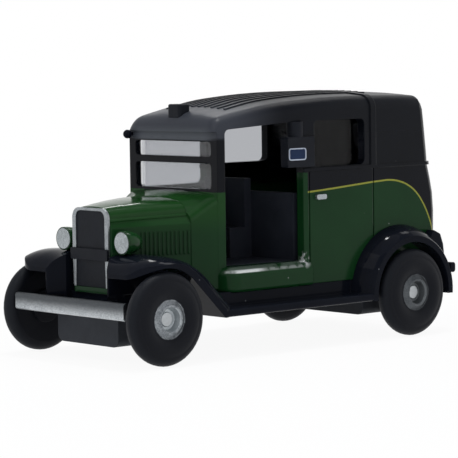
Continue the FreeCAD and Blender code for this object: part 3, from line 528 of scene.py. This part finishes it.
@dataclass(frozen=True)
class ClearMoulding:
    """Clear insert behind the windows: a slightly milky windscreen, smoked sides."""

    name: str
    screen_from_mm: Span = (4.62, 4.68)
    screen_tint: Colour = srgb(238, 239, 241)
    side_tint: Colour = srgb(176, 178, 182)
    screen_haze: float = 0.1
    gloss: Pattern = Pattern(0.6)
    rough_most: float = 0.02
    ripple: Pattern = Pattern(0.8, 2.0)
    ripple_mm: float = 0.002
    edge_mm: float = 0.03
    ior: float = 1.2

    def material(self) -> bpy.types.Material:
        """Builds the clear plastic.

        Returns:
            The material.
        """
        graph = FinishGraph(self.name)
        along, _, _ = graph.split(graph.place)
        screen = graph.ramp(along, self.screen_from_mm)
        colour = graph.mix(screen, self.side_tint, self.screen_tint)
        passing = graph.maths("MULTIPLY_ADD", screen, -self.screen_haze, 1.0)
        rough = graph.maths("MULTIPLY", graph.noise(self.gloss), self.rough_most)
        graph.soften(graph.noise(self.ripple), self.ripple_mm, self.edge_mm)
        return graph.finish(colour, rough, Transmission_Weight=passing, IOR=self.ior)


@dataclass(frozen=True)
class CoachLine:
    """Painted line that parts green from black, from the door's edge back to the tail."""

    colour: Colour = srgb(150, 152, 62)
    width_mm: float = 0.1
    edge_mm: float = 0.02
    door_edge_mm: float = -1.17
    curve_from_mm: float = -12.2
    curve_height_mm: float = 10.0
    slope_step_mm: float = 0.05
    # the line shows on the sides, and round the tail's corner, where out less along is large
    sides_mm: Span = (4.1, 4.2)
    corner_mm: Span = (15.2, 15.3)
    # along and up
    run_mm: tuple[tuple[float, float], ...] = (
        (-1.17, 8.86), (-3.1, 8.98), (-5.06, 9.12), (-6.97, 9.24), (-7.9, 9.26), (-8.77, 9.12),
        (-9.45, 8.86), (-10.07, 8.45), (-10.62, 7.85), (-11.11, 7.06), (-11.45, 6.25), (-11.66, 5.4),
        (-11.8, 4.4), (-12.0, 3.2))

    def height(self, graph: FinishGraph, along: Socket, shift_mm: float) -> Socket:
        """Height of the line at a station.

        Args:
            graph: Material that is being built.
            along: Distance forward in millimetres.
            shift_mm: Added to the distance.

        Returns:
            The height in millimetres.
        """
        length = self.door_edge_mm - self.curve_from_mm
        share = graph.maths("DIVIDE", graph.maths("SUBTRACT", along, self.curve_from_mm - shift_mm), length)
        node = graph.add("FloatCurve")
        curve = node.mapping.curves[0]
        points = sorted(((x - self.curve_from_mm) / length, z / self.curve_height_mm)
                        for x, z in self.run_mm)
        curve.points[0].location = points[0]
        curve.points[1].location = points[-1]
        for point in points[1:-1]:
            curve.points.new(*point)
        node.mapping.update()
        graph.feed(node.inputs["Value"], share)
        return graph.maths("MULTIPLY", node.outputs["Value"], self.curve_height_mm)

    def above(self, graph: FinishGraph, along: Socket, up: Socket) -> Socket:
        """Distance above the line, square to its slope.

        Args:
            graph: Material that is being built.
            along: Distance forward in millimetres.
            up: Height in millimetres.

        Returns:
            The distance in millimetres.
        """
        step = self.slope_step_mm
        rise = graph.maths("SUBTRACT", self.height(graph, along, step), self.height(graph, along, -step))
        slope = graph.maths("DIVIDE", rise, step + step)
        lean = graph.maths("SQRT", graph.maths("MULTIPLY_ADD", slope, slope, 1.0))
        return graph.maths("DIVIDE", graph.maths("SUBTRACT", up, self.height(graph, along, 0.0)), lean)

    def stripe(self, graph: FinishGraph, above: Socket, behind: Socket) -> Socket:
        """Where the line itself is painted.

        Args:
            graph: Material that is being built.
            above: Distance above the line.
            behind: 1 behind the door's edge.

        Returns:
            The mask.
        """
        along, across, _ = graph.split(graph.place)
        out = graph.maths("ABSOLUTE", across)
        diagonal = graph.maths("SUBTRACT", out, along)
        stripe = graph.ramp(graph.maths("ABSOLUTE", above), around(self.width_mm / 2, -self.edge_mm))
        corner = graph.ramp(diagonal, self.corner_mm)
        outside = graph.maths("MAXIMUM", graph.ramp(out, self.sides_mm), corner)
        return graph.product(stripe, behind, outside)


@dataclass(frozen=True)
class StepWearAndHighlight:
    """Pale metal on the step's edge, nose and rear corner: rubbed-off paint and a painted highlight."""

    colour: Colour = srgb(226, 230, 228)
    metallic: float = 0.4
    floor_mm: float = 4.9
    # the next four are heights over the platform's floor
    top_mm: Span = (0.08, 0.02)
    edge_from_mm: Span = (-0.36, -0.28)
    edge_to_mm: Span = (-0.12, -0.2)
    painted_reflection_mm: Span = (-0.3, -0.2)
    painted_reflection_share: float = 0.1
    out_mm: Span = (4.12, 4.3)
    along_mm: Span = (-1.05, -0.85)
    nose_mm: Point = (3.7, 4.5, 4.7)
    nose_reach_mm: Span = (1.4, 0.7)
    nose_share: float = 0.7
    rub: Pattern = Pattern(2.6, 4.0)
    rub_span: Span = (0.3, 0.55)
    rear_mm: Point = (-0.75, 4.45, 4.95)
    rear_reach_mm: Span = (0.6, 0.1)
    chip: Pattern = Pattern(4.0, 4.0)
    chip_span: Span = (0.47, 0.55)

    def mask(self, graph: FinishGraph) -> Socket:
        """Where the pale metal is laid: bare metal, a painted highlight, and a faint painted reflection on
        top.

        Args:
            graph: Material that is being built.

        Returns:
            The mask.
        """
        along, across, up = graph.split(graph.place)
        # rear corner: a chipped patch, partly bare metal and partly a painted highlight
        rear = graph.product(graph.near(self.rear_mm, self.rear_reach_mm),
                             graph.ramp(graph.noise(self.chip), self.chip_span))
        tread = graph.product(graph.ramp(across, self.out_mm), graph.ramp(along, self.along_mm),
                              self.over_floor(graph, up, self.top_mm))
        edge = graph.product(self.over_floor(graph, up, self.edge_from_mm),
                             self.over_floor(graph, up, self.edge_to_mm))
        # edge line and nose: partly rubbed paint, partly a painted highlight along the rounded edge
        nose = graph.near(self.nose_mm, self.nose_reach_mm)
        rubbed = graph.ramp(graph.noise(self.rub), self.rub_span)
        line = graph.product(edge, graph.maths("MULTIPLY_ADD", nose, self.nose_share, 1 - self.nose_share))
        # painted reflection: a faint pale grey over the top of the step
        painted_reflection = graph.product(self.over_floor(graph, up, self.painted_reflection_mm), self.painted_reflection_share)
        tread = graph.product(tread, graph.maths("MAXIMUM", line, painted_reflection),
                              graph.maths("MAXIMUM", nose, rubbed))
        return graph.maths("MAXIMUM", rear, tread)

    def over_floor(self, graph: FinishGraph, up: Socket, span_mm: Span) -> Socket:
        """Share by the height over the platform's floor: 0 at the span's start, 1 at its end."""
        low, high = span_mm
        return graph.ramp(up, (self.floor_mm + low, self.floor_mm + high))


@dataclass(frozen=True)
class CoachPaint:
    """Two-tone paint: green below, black above, the line, rubbed step edges, painted light and highlights.
    """

    name: str
    line: CoachLine = CoachLine()
    # bare metal and painted highlights on the step
    step_wear_and_highlight: StepWearAndHighlight = StepWearAndHighlight()
    cloud: Pattern = Pattern(0.4)
    green: Colour = srgb(18, 54, 26)
    green_tones: Span = (0.78, 1.25)
    # painted light: a paler green for the crown of the bonnet, where the light from above falls
    bonnet_painted_light: Colour = srgb(26, 65, 27)
    bonnet_along_mm: Span = (2.6, 4.4)
    bonnet_up_mm: Span = (6.6, 8.2)
    black: Colour = srgb(8, 11, 18)
    black_tones: Span = (0.8, 1.3)
    # painted sheen: a greyer black for the front of the dome, standing in for light off a satin finish
    roof_sheen: Colour = srgb(58, 61, 68)
    roof_up_mm: Span = (12.0, 12.25)
    roof_along_mm: Span = (0.2, 4.4)
    # painted highlight: a paler grey along the edge over the windscreen
    brow_highlight: Colour = srgb(84, 88, 94)
    brow_from_mm: Span = (11.97, 12.1)
    brow_to_mm: Span = (12.9, 12.4)
    brow_along_mm: Span = (4.3, 4.7)
    brow_out_mm: Span = (3.9, 2.6)
    # the black starts higher on the pillar ahead of the rear door than it does further forward
    scuttle_top_mm: Span = (9.1, 9.15)
    pillar_top_mm: Span = (9.97, 10.02)
    pillar_front_mm: float = -0.5
    wobble: Pattern = Pattern(1.3)
    wobble_mm: float = 0.12
    dust: Dust = Dust(0.8, (0.04, 0.024), 0.5, srgb(170, 174, 170))
    gloss: Pattern = Pattern(1.7)
    roughness: float = 0.14
    rough_width: float = 0.1
    satin_up_mm: Span = (11.6, 12.6)
    satin: float = 0.22
    ripple: Pattern = Pattern(1.1, 2.0)
    ripple_mm: float = 0.004
    edge_mm: float = 0.09
    ior: float = 1.2

    def black_mask(self, graph: FinishGraph, above: Socket, behind: Socket) -> Socket:
        """Where the body is black.

        Args:
            graph: Material that is being built.
            above: Distance above the coach line.
            behind: 1 behind the door's edge.

        Returns:
            The mask.
        """
        along, _, up = graph.split(graph.place)
        wavy = graph.maths("ADD", up, graph.vary(graph.noise(self.wobble), 0.0, self.wobble_mm))
        scuttle = graph.ramp(wavy, self.scuttle_top_mm)
        pillar = graph.ramp(up, self.pillar_top_mm)
        ahead = graph.ramp(along, around(self.pillar_front_mm, self.line.edge_mm))
        front = graph.between(ahead, pillar, scuttle)
        return graph.between(behind, front, graph.ramp(above, around(0.0, self.line.edge_mm)))

    def greens(self, graph: FinishGraph, cloud: Socket) -> Socket:
        """Clouded green, paler on the crown in front of the windscreen, as painted light from above.

        Args:
            graph: Material that is being built.
            cloud: Pattern from 0 to 1.

        Returns:
            The colour.
        """
        along, _, up = graph.split(graph.place)
        # painted light on the crown of the bonnet
        painted_crown_light = graph.product(graph.ramp(along, self.bonnet_along_mm), graph.ramp(up, self.bonnet_up_mm))
        return graph.mix(painted_crown_light, graph.clouded(cloud, self.green, self.green_tones), self.bonnet_painted_light)

    def blacks(self, graph: FinishGraph, cloud: Socket) -> Socket:
        """Clouded black, with a painted grey sheen on the front of the dome and a painted highlight over the
        windscreen.

        Args:
            graph: Material that is being built.
            cloud: Pattern from 0 to 1.

        Returns:
            The colour.
        """
        along, across, up = graph.split(graph.place)
        # painted sheen on the dome and a painted highlight over the windscreen
        dome = graph.product(graph.ramp(up, self.roof_up_mm), graph.ramp(along, self.roof_along_mm))
        brow_highlight = graph.product(graph.ramp(up, self.brow_from_mm), graph.ramp(up, self.brow_to_mm),
                             graph.ramp(along, self.brow_along_mm),
                             graph.ramp(graph.maths("ABSOLUTE", across), self.brow_out_mm))
        dark = graph.mix(dome, graph.clouded(cloud, self.black, self.black_tones), self.roof_sheen)
        return graph.mix(brow_highlight, dark, self.brow_highlight)

    def material(self) -> bpy.types.Material:
        """Builds the two-tone paint.

        Returns:
            The material.
        """
        graph = FinishGraph(self.name)
        along, _, up = graph.split(graph.place)
        above = self.line.above(graph, along, up)
        behind = graph.ramp(along, around(self.line.door_edge_mm, -self.line.edge_mm))
        cloud = graph.noise(self.cloud)
        colour = graph.mix(self.black_mask(graph, above, behind), self.greens(graph, cloud),
                           self.blacks(graph, cloud))
        colour = graph.mix(self.line.stripe(graph, above, behind), colour, self.line.colour)
        colour = graph.dusted(colour, self.dust)
        # pale metal on the step: bare metal, painted highlight and painted reflection
        wear_and_highlight = self.step_wear_and_highlight.mask(graph)
        colour = graph.mix(wear_and_highlight, colour, self.step_wear_and_highlight.colour)
        rough = graph.vary(graph.noise(self.gloss), self.roughness, self.rough_width)
        rough = graph.maths("ADD", rough, graph.product(graph.ramp(up, self.satin_up_mm), self.satin))
        graph.soften(graph.noise(self.ripple), self.ripple_mm, self.edge_mm)
        return graph.finish(colour, rough, Metallic=graph.product(wear_and_highlight, self.step_wear_and_highlight.metallic), IOR=self.ior)


@dataclass(frozen=True)
class WheelFinish:
    """Black tyre and silver hub of one wheel, told apart by the distance from the axle."""

    name: str
    centre_mm: tuple[float, float]
    outward: Side
    dust: float
    # the hubs are darkened towards this grey by the share given for their axle
    hub_dark_grey: Colour = srgb(58, 61, 64)
    hub_edge_mm: Span = (1.12, 1.04)
    hub_out_mm: Span = (5.3, 5.4)
    ragged: Pattern = Pattern(3.5)
    ragged_mm: float = 0.12
    silver: Colour = srgb(158, 163, 167)
    shade: Colour = srgb(96, 101, 106)
    flakes: Flakes = Flakes(Pattern(16.0, 2.0), (0.38, 0.62), Pattern(2.4), (0.3, 0.68), 0.5)
    # painted highlight: a paler silver for the centre of the hub
    dish_highlight: Colour = srgb(200, 206, 209)
    dish_edge_mm: Span = (0.73, 0.63)
    dish_highlight_share: float = 0.7
    metallic: float = 0.85
    tyre: Colour = srgb(16, 18, 24)
    tread: Colour = srgb(34, 37, 42)
    tread_from_mm: Span = (2.2, 2.56)
    tread_share: float = 0.5
    tyre_roughness: float = 0.44
    hub_gloss: float = 0.08
    gloss: Pattern = Pattern(2.0)
    rough_width: float = 0.1
    grain: Pattern = Pattern(6.0, 4.0)
    grain_mm: float = 0.006
    edge_mm: float = 0.06
    ior: float = 1.2

    def hub_silver(self, graph: FinishGraph, edge: Socket) -> Socket:
        """Silver of the hub, with a painted highlight in its centre, and darkened by the given share.

        Args:
            graph: Material that is being built.
            edge: Distance from the axle with a ragged edge.

        Returns:
            The colour.
        """
        _, _, brightness = self.flakes.build(graph)
        # painted highlight in the centre of the hub
        dish_highlight = graph.product(graph.ramp(edge, self.dish_edge_mm), self.dish_highlight_share)
        silver = graph.mix(dish_highlight, graph.mix(brightness, self.shade, self.silver), self.dish_highlight)
        return graph.mix(self.dust, silver, self.hub_dark_grey)

    def material(self) -> bpy.types.Material:
        """Builds the wheel's finish.

        Returns:
            The material.
        """
        graph = FinishGraph(self.name)
        along, across, up = graph.split(graph.place)
        dx = graph.maths("SUBTRACT", along, self.centre_mm[0])
        dz = graph.maths("SUBTRACT", up, self.centre_mm[1])
        radius = graph.maths("SQRT", graph.maths("MULTIPLY_ADD", dx, dx, graph.maths("MULTIPLY", dz, dz)))
        edge = graph.maths("ADD", radius, graph.vary(graph.noise(self.ragged), 0.0, self.ragged_mm))
        out = graph.maths("MULTIPLY", across, float(self.outward.value))
        hub = graph.product(graph.ramp(edge, self.hub_edge_mm), graph.ramp(out, self.hub_out_mm))
        tread = graph.product(graph.ramp(radius, self.tread_from_mm), self.tread_share)
        colour = graph.mix(hub, graph.mix(tread, self.tyre, self.tread), self.hub_silver(graph, edge))
        rough = graph.maths("MULTIPLY_ADD", hub, -self.hub_gloss, self.tyre_roughness)
        rough = graph.maths("MULTIPLY_ADD", graph.noise(self.gloss), self.rough_width, rough)
        graph.soften(graph.noise(self.grain), self.grain_mm, self.edge_mm)
        return graph.finish(colour, rough, Metallic=graph.product(hub, self.metallic), IOR=self.ior)


@dataclass
class Body:
    """Painted casting with its wings, base and trim: which part gets which finish."""

    coach: CoachPaint = CoachPaint("coach_paint")
    black: EnamelPaint = EnamelPaint("black_enamel", srgb(17, 20, 28), 1.12)
    green: EnamelPaint = EnamelPaint(GREEN_ENAMEL, srgb(20, 58, 26), 1.26)
    satin: SatinBlack = SatinBlack("satin_black", srgb(18, 21, 28))
    base: SatinBlack = SatinBlack("base_black", srgb(52, 55, 60), 0.55)
    seat: SatinBlack = SatinBlack("moulded_black", srgb(38, 41, 49), 0.6)
    grille: SatinBlack = SatinBlack("grille_black", srgb(14, 18, 26), 0.42)
    silver: SilverPaint = SilverPaint("silver_paint")
    # the bumper's upper face gets painted shade above 3 mm
    bar: SilverPaint = SilverPaint("bumper_silver_paint", srgb(218, 223, 226), srgb(152, 157, 161),
                                   painted_shade_above_mm=3.0)
    lens: SilverPaint = SilverPaint("lens_silver", srgb(166, 172, 175), srgb(146, 152, 155),
                                    Flakes(Pattern(9.0, 2.0)), 0.35)
    steel: BrightSteel = BrightSteel("bright_steel")
    clear: ClearMoulding = ClearMoulding("clear_moulding")

    def finishes(self) -> dict[str, bpy.types.Material]:
        """Finish of each part but the wheels.

        Returns:
            Materials by the names of the parts.
        """
        black = self.black.material()
        green = self.green.material()
        satin = self.satin.material()
        lens = self.lens.material()
        steel = self.steel.material()
        seat = self.seat.material()
        parts = {
            "body_casting": self.coach.material(),
            "wing_unit": black,
            "baseplate": self.base.material(),
            "front_rivet": steel,
            "rear_rivet": steel,
            "glazing": self.clear.material(),
            "interior": seat,
            "steering_wheel": seat,
            "radiator_shell": self.silver.material(),
            "radiator_grille": self.grille.material(),
            "number_plate": satin,
            "front_bumper": self.bar.material(),
            "rear_bumper": black,
            "roof_sign": satin,
            "taximeter": satin,
            "screen_mirror": black,
            "front_axle": steel,
            "rear_axle": steel,
        }
        for side in Side:
            side_name = side.name.lower()
            parts["headlamp_" + side_name] = green
            parts["headlamp_lens_" + side_name] = lens
            parts["door_handle_" + side_name] = lens
        return parts

    def dress(self, nodes: dict[str, bpy.types.Object]) -> None:
        """Gives every part but the wheels its finish.

        Args:
            nodes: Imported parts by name.
        """
        for name, material in self.finishes().items():
            put_on(nodes[name], material)
            LOG.info("dressed %s in %s", name, material.name)


@dataclass
class Wheels:
    """The four one-piece wheels."""

    # share by which the hubs of each axle are darkened towards a dull grey
    axles: tuple[tuple[str, float], ...] = (("front", 0.05), ("rear", 0.8))

    def dress(self, nodes: dict[str, bpy.types.Object]) -> None:
        """Gives each wheel its tyre and hub.

        Args:
            nodes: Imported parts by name.
        """
        for axle, dust in self.axles:
            for side in Side:
                name = f"{axle}_wheel_{side.name.lower()}"
                low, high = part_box(name)
                centre = ((low.x + high.x) / 2 / MM, (low.z + high.z) / 2 / MM)
                put_on(nodes[name], WheelFinish(name + "_finish", centre, side, dust).material())
                LOG.info("dressed %s", name)


def put_on(piece: bpy.types.Object, material: bpy.types.Material) -> None:
    """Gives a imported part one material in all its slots.

    Args:
        piece: The part.
        material: Its finish.
    """
    if not piece.material_slots:
        piece.data.materials.append(material)
    for slot in piece.material_slots:
        slot.material = material


def clear_selection() -> None:
    """Deselects every object."""
    bpy.ops.object.select_all(action="DESELECT")


def settle(piece: bpy.types.Object, body: str) -> None:
    """Puts a finished piece's place into its mesh and lets it ride on a body.

    Args:
        piece: The piece.
        body: Body that carries it.
    """
    clear_selection()
    piece.select_set(True)
    bpy.context.view_layer.objects.active = piece
    bpy.ops.object.transform_apply(location=True, rotation=True, scale=True)
    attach(piece, body)
    LOG.info("made %s", piece.name)


def pick_edges(piece: bpy.types.Object, axis: Vector) -> None:
    """Selects the edges along one axis and nothing else, in object mode.

    Args:
        piece: Object in object mode.
        axis: Unit vector.
    """
    bpy.context.tool_settings.mesh_select_mode = (False, True, False)
    for element in (*piece.data.polygons, *piece.data.vertices):
        element.select = False
    for edge in piece.data.edges:
        first, last = (piece.data.vertices[index].co for index in edge.vertices)
        edge.select = (last - first).cross(axis).length < SAME_PLACE


def pick_faces(piece: bpy.types.Object, way: Vector) -> None:
    """Selects the faces that look one way, in edit mode.

    Args:
        piece: Object in edit mode.
        way: Unit vector.
    """
    bpy.ops.mesh.select_all(action="DESELECT")
    bpy.ops.object.mode_set(mode="OBJECT")
    for face in piece.data.polygons:
        face.select = face.normal.dot(way) > FACING
    bpy.ops.object.mode_set(mode="EDIT")


@dataclass
class MeterPanel:
    """Blank printed panel on the taximeter: a blue field inside a white rounded outline."""

    front_inset_mm: float = 0.06
    rear_inset_mm: float = 0.7
    low_inset_mm: float = 0.4
    height_mm: float = 0.7
    thickness_mm: float = 0.05
    corner_mm: float = 0.16
    corner_steps: int = 5
    outline_mm: float = 0.055
    lip_mm: float = 0.01375
    sunk_mm: float = 0.025
    white: SatinBlack = SatinBlack("meter_outline", srgb(188, 196, 210), 0.4)
    blue: SatinBlack = SatinBlack("meter_blue", srgb(24, 40, 70), 0.35)

    def build(self) -> None:
        """Models the panel on the meter's outer face."""
        outward = Vector((0, 1, 0))
        low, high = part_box("taximeter")
        front = high.x - self.front_inset_mm * MM
        rear = low.x + self.rear_inset_mm * MM
        bottom = low.z + self.low_inset_mm * MM
        top = bottom + self.height_mm * MM
        centre = ((front + rear) / 2, high.y + self.thickness_mm * MM / 2, (bottom + top) / 2)
        clear_selection()
        bpy.ops.mesh.primitive_cube_add(size=1, location=centre)
        panel = bpy.context.object
        panel.name = "meter_panel"
        panel.scale = (front - rear, self.thickness_mm * MM, top - bottom)
        bpy.ops.object.transform_apply(location=False, rotation=False, scale=True)
        pick_edges(panel, outward)
        bpy.ops.object.mode_set(mode="EDIT")
        bpy.ops.mesh.bevel(offset=self.corner_mm * MM, segments=self.corner_steps)
        bpy.ops.mesh.select_mode(type="FACE")
        pick_faces(panel, outward)
        bpy.ops.mesh.inset(thickness=self.outline_mm * MM, depth=0)
        bpy.ops.mesh.inset(thickness=self.lip_mm * MM, depth=-self.sunk_mm * MM)
        bpy.ops.object.mode_set(mode="OBJECT")
        panel.data.materials.append(self.white.material())
        panel.data.materials.append(self.blue.material())
        for face in panel.data.polygons:
            face.material_index = 1 if face.select else 0
        settle(panel, "car")


@dataclass
class LampBezel:
    """Round painted rim that holds one headlamp glass."""

    side: Side
    depth_share: float = 0.8
    wall_mm: float = 0.05
    edge_mm: float = 0.02
    edge_steps: int = 3
    smooth_angle: float = 40.0
    steps: int = 48

    def build(self) -> None:
        """Models the rim round the glass."""
        side_name = self.side.name.lower()
        low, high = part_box("headlamp_lens_" + side_name)
        radius = (high.z - low.z) / 2
        depth = (high.x - low.x) * self.depth_share
        centre = (low.x + depth / 2, (low.y + high.y) / 2, (low.z + high.z) / 2)
        clear_selection()
        bpy.ops.mesh.primitive_cylinder_add(vertices=self.steps, radius=radius, depth=depth,
                                            end_fill_type="NOTHING", location=centre,
                                            rotation=(0, math.radians(90), 0))
        rim = bpy.context.object
        rim.name = "headlamp_rim_" + side_name
        wall = rim.modifiers.new("wall", "SOLIDIFY")
        wall.thickness = self.wall_mm * MM
        wall.offset = 1
        bpy.ops.object.modifier_apply(modifier="wall")
        edge = rim.modifiers.new("edge", "BEVEL")
        edge.width = self.edge_mm * MM
        edge.segments = self.edge_steps
        edge.limit_method = "ANGLE"
        bpy.ops.object.modifier_apply(modifier="edge")
        bpy.ops.object.shade_smooth_by_angle(angle=math.radians(self.smooth_angle))
        rim.data.materials.append(bpy.data.materials[GREEN_ENAMEL])
        settle(rim, "car")


@dataclass(frozen=True)
class SoftLamp:
    """One soft box: where it stands, how large and how strong it is."""

    name: str
    azimuth: float
    elevation: float
    distance: float
    width: float
    height: float
    watts: float

    def build(self, target: Vector) -> None:
        """Hangs the soft box and turns it to the car.

        Args:
            target: Point that it faces.
        """
        light = bpy.data.lights.new(self.name, "AREA")
        light.shape = "RECTANGLE"
        light.size = self.width
        light.size_y = self.height
        light.energy = self.watts
        lamp = bpy.data.objects.new(self.name, light)
        away = direction(self.azimuth, self.elevation)
        lamp.location = target + away * self.distance
        lamp.rotation_euler = away.to_track_quat("Z", "Y").to_euler()
        bpy.context.scene.collection.objects.link(lamp)


@dataclass
class Studio:
    """Pale floor, soft lamps and the camera at the photograph's place."""

    azimuth: float = 138.31
    elevation: float = 4.28
    distance: float = 0.13809
    roll: float = -0.78
    target: Point = (0.001015, 0.0, 0.00665)
    focal_pixels: float = 2358.56
    image_pixels: int = 458
    sensor: float = 36.0
    sight: Span = (0.002, 20.0)
    floor_radius: float = 0.6
    floor_steps: int = 96
    floor_drop_mm: float = 0.02
    floor_colour: Colour = (0.92, 0.92, 0.92)
    floor_roughness: float = 0.9
    floor_whiteness: float = 0.93
    white_beyond_mm: Span = (22.0, 60.0)
    white: Colour = (1.0, 1.0, 1.0)
    room_grey: Colour = (0.40, 0.41, 0.44)
    ceiling_grey: Colour = (0.33, 0.34, 0.36)
    # elevations between which the walls turn into the ceiling
    ceiling_from: Span = (20.0, 62.0)
    lamps: Sequence[SoftLamp] = (
        SoftLamp("key_box", 100.0, 52.0, 0.34, 0.20, 0.16, 0.17),
        SoftLamp("top_box", 150.0, 84.0, 0.36, 0.34, 0.30, 0.20),
        SoftLamp("spot_box", 292.0, 80.0, 0.40, 0.035, 0.035, 0.48),
        SoftLamp("fill_box", 190.0, 20.0, 0.45, 0.22, 0.30, 0.10),
        SoftLamp("back_box", 290.0, 52.0, 0.42, 0.12, 0.07, 0.12),
        SoftLamp("rim_box", 322.0, 40.0, 0.42, 0.05, 0.07, 0.10),
    )

    def floor(self) -> None:
        """Lays the floor: white to the camera, a little less so near the car, to keep its shadow."""
        clear_selection()
        bpy.ops.mesh.primitive_circle_add(vertices=self.floor_steps, radius=self.floor_radius,
                                          fill_type="NGON", location=(0, 0, -self.floor_drop_mm * MM))
        floor = bpy.context.object
        floor.name = "floor"
        graph = FinishGraph("floor_white")
        floor.data.materials.append(graph.finish(self.floor_colour, self.floor_roughness))
        distance = graph.add("VectorMath", operation="LENGTH")
        graph.feed(distance.inputs[0], graph.place)
        far = graph.ramp(distance.outputs["Value"], self.white_beyond_mm)
        white = graph.maths("MULTIPLY_ADD", far, 1.0 - self.floor_whiteness, self.floor_whiteness)
        blend = graph.add("MixShader")
        graph.feed(blend.inputs[0], graph.product(self.seen(graph), white))
        graph.feed(blend.inputs[1], graph.shader.outputs["BSDF"])
        graph.feed(blend.inputs[2], graph.add("Emission").outputs["Emission"])
        graph.feed(graph.tree.nodes["Material Output"].inputs["Surface"], blend.outputs["Shader"])

    def seen(self, graph: Graph) -> Socket:
        """1 for rays of the camera, of gloss and through the glass.

        Args:
            graph: Material that is being built.

        Returns:
            The share.
        """
        path = graph.add("LightPath")
        plain = graph.maths("MAXIMUM", path.outputs["Is Camera Ray"], path.outputs["Is Glossy Ray"])
        return graph.maths("MAXIMUM", plain, path.outputs["Is Transmission Ray"])

    def surroundings(self) -> None:
        """Sets the room.

        It is white to the camera, and white walls under a grey ceiling in gloss and glass.
        To all other rays it is one grey.
        """
        world = bpy.data.worlds.new("room")
        bpy.context.scene.world = world
        world.use_nodes = True
        graph = Graph(world.node_tree)
        path = graph.add("LightPath")
        _, _, up = graph.split(graph.add("TexCoord").outputs["Generated"])
        low, high = (math.sin(math.radians(elevation)) for elevation in self.ceiling_from)
        walls = graph.mix(graph.ramp(up, (low, high)), self.white, self.ceiling_grey)
        mirrored = graph.maths("MAXIMUM", path.outputs["Is Glossy Ray"], path.outputs["Is Transmission Ray"])
        lit = graph.mix(mirrored, self.room_grey, walls)
        shown = graph.mix(path.outputs["Is Camera Ray"], lit, self.white)
        graph.feed(graph.tree.nodes["Background"].inputs["Color"], shown)

    def camera(self) -> None:
        """Places the camera."""
        back = direction(self.azimuth, self.elevation)
        right = Vector((0, 0, 1)).cross(back).normalized()
        upward = back.cross(right)
        roll = math.radians(self.roll)
        axes = (right * math.cos(roll) + upward * math.sin(roll),
                upward * math.cos(roll) - right * math.sin(roll), back)
        lens = bpy.data.cameras.new("camera")
        lens.sensor_width = self.sensor
        lens.lens = self.focal_pixels * self.sensor / self.image_pixels
        lens.clip_start, lens.clip_end = self.sight
        camera = bpy.data.objects.new("camera", lens)
        place = Vector(self.target) + back * self.distance
        camera.matrix_world = Matrix.Translation(place) @ Matrix(axes).transposed().to_4x4()
        bpy.context.scene.collection.objects.link(camera)
        bpy.context.scene.camera = camera

    def build(self) -> None:
        """Sets up the whole studio."""
        bpy.context.scene.view_settings.view_transform = "Standard"
        self.floor()
        self.surroundings()
        for lamp in self.lamps:
            lamp.build(Vector(self.target))
        self.camera()


def main() -> None:
    """Builds the scene in order and reports each piece."""
    logging.basicConfig(level=logging.INFO, format="%(name)s: %(message)s")
    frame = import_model()
    nodes = frame["nodes"]
    Body().dress(nodes)
    Wheels().dress(nodes)
    MeterPanel().build()
    for side in Side:
        LampBezel(side).build()
    Studio().build()


if __name__ == "__main__":
    main()
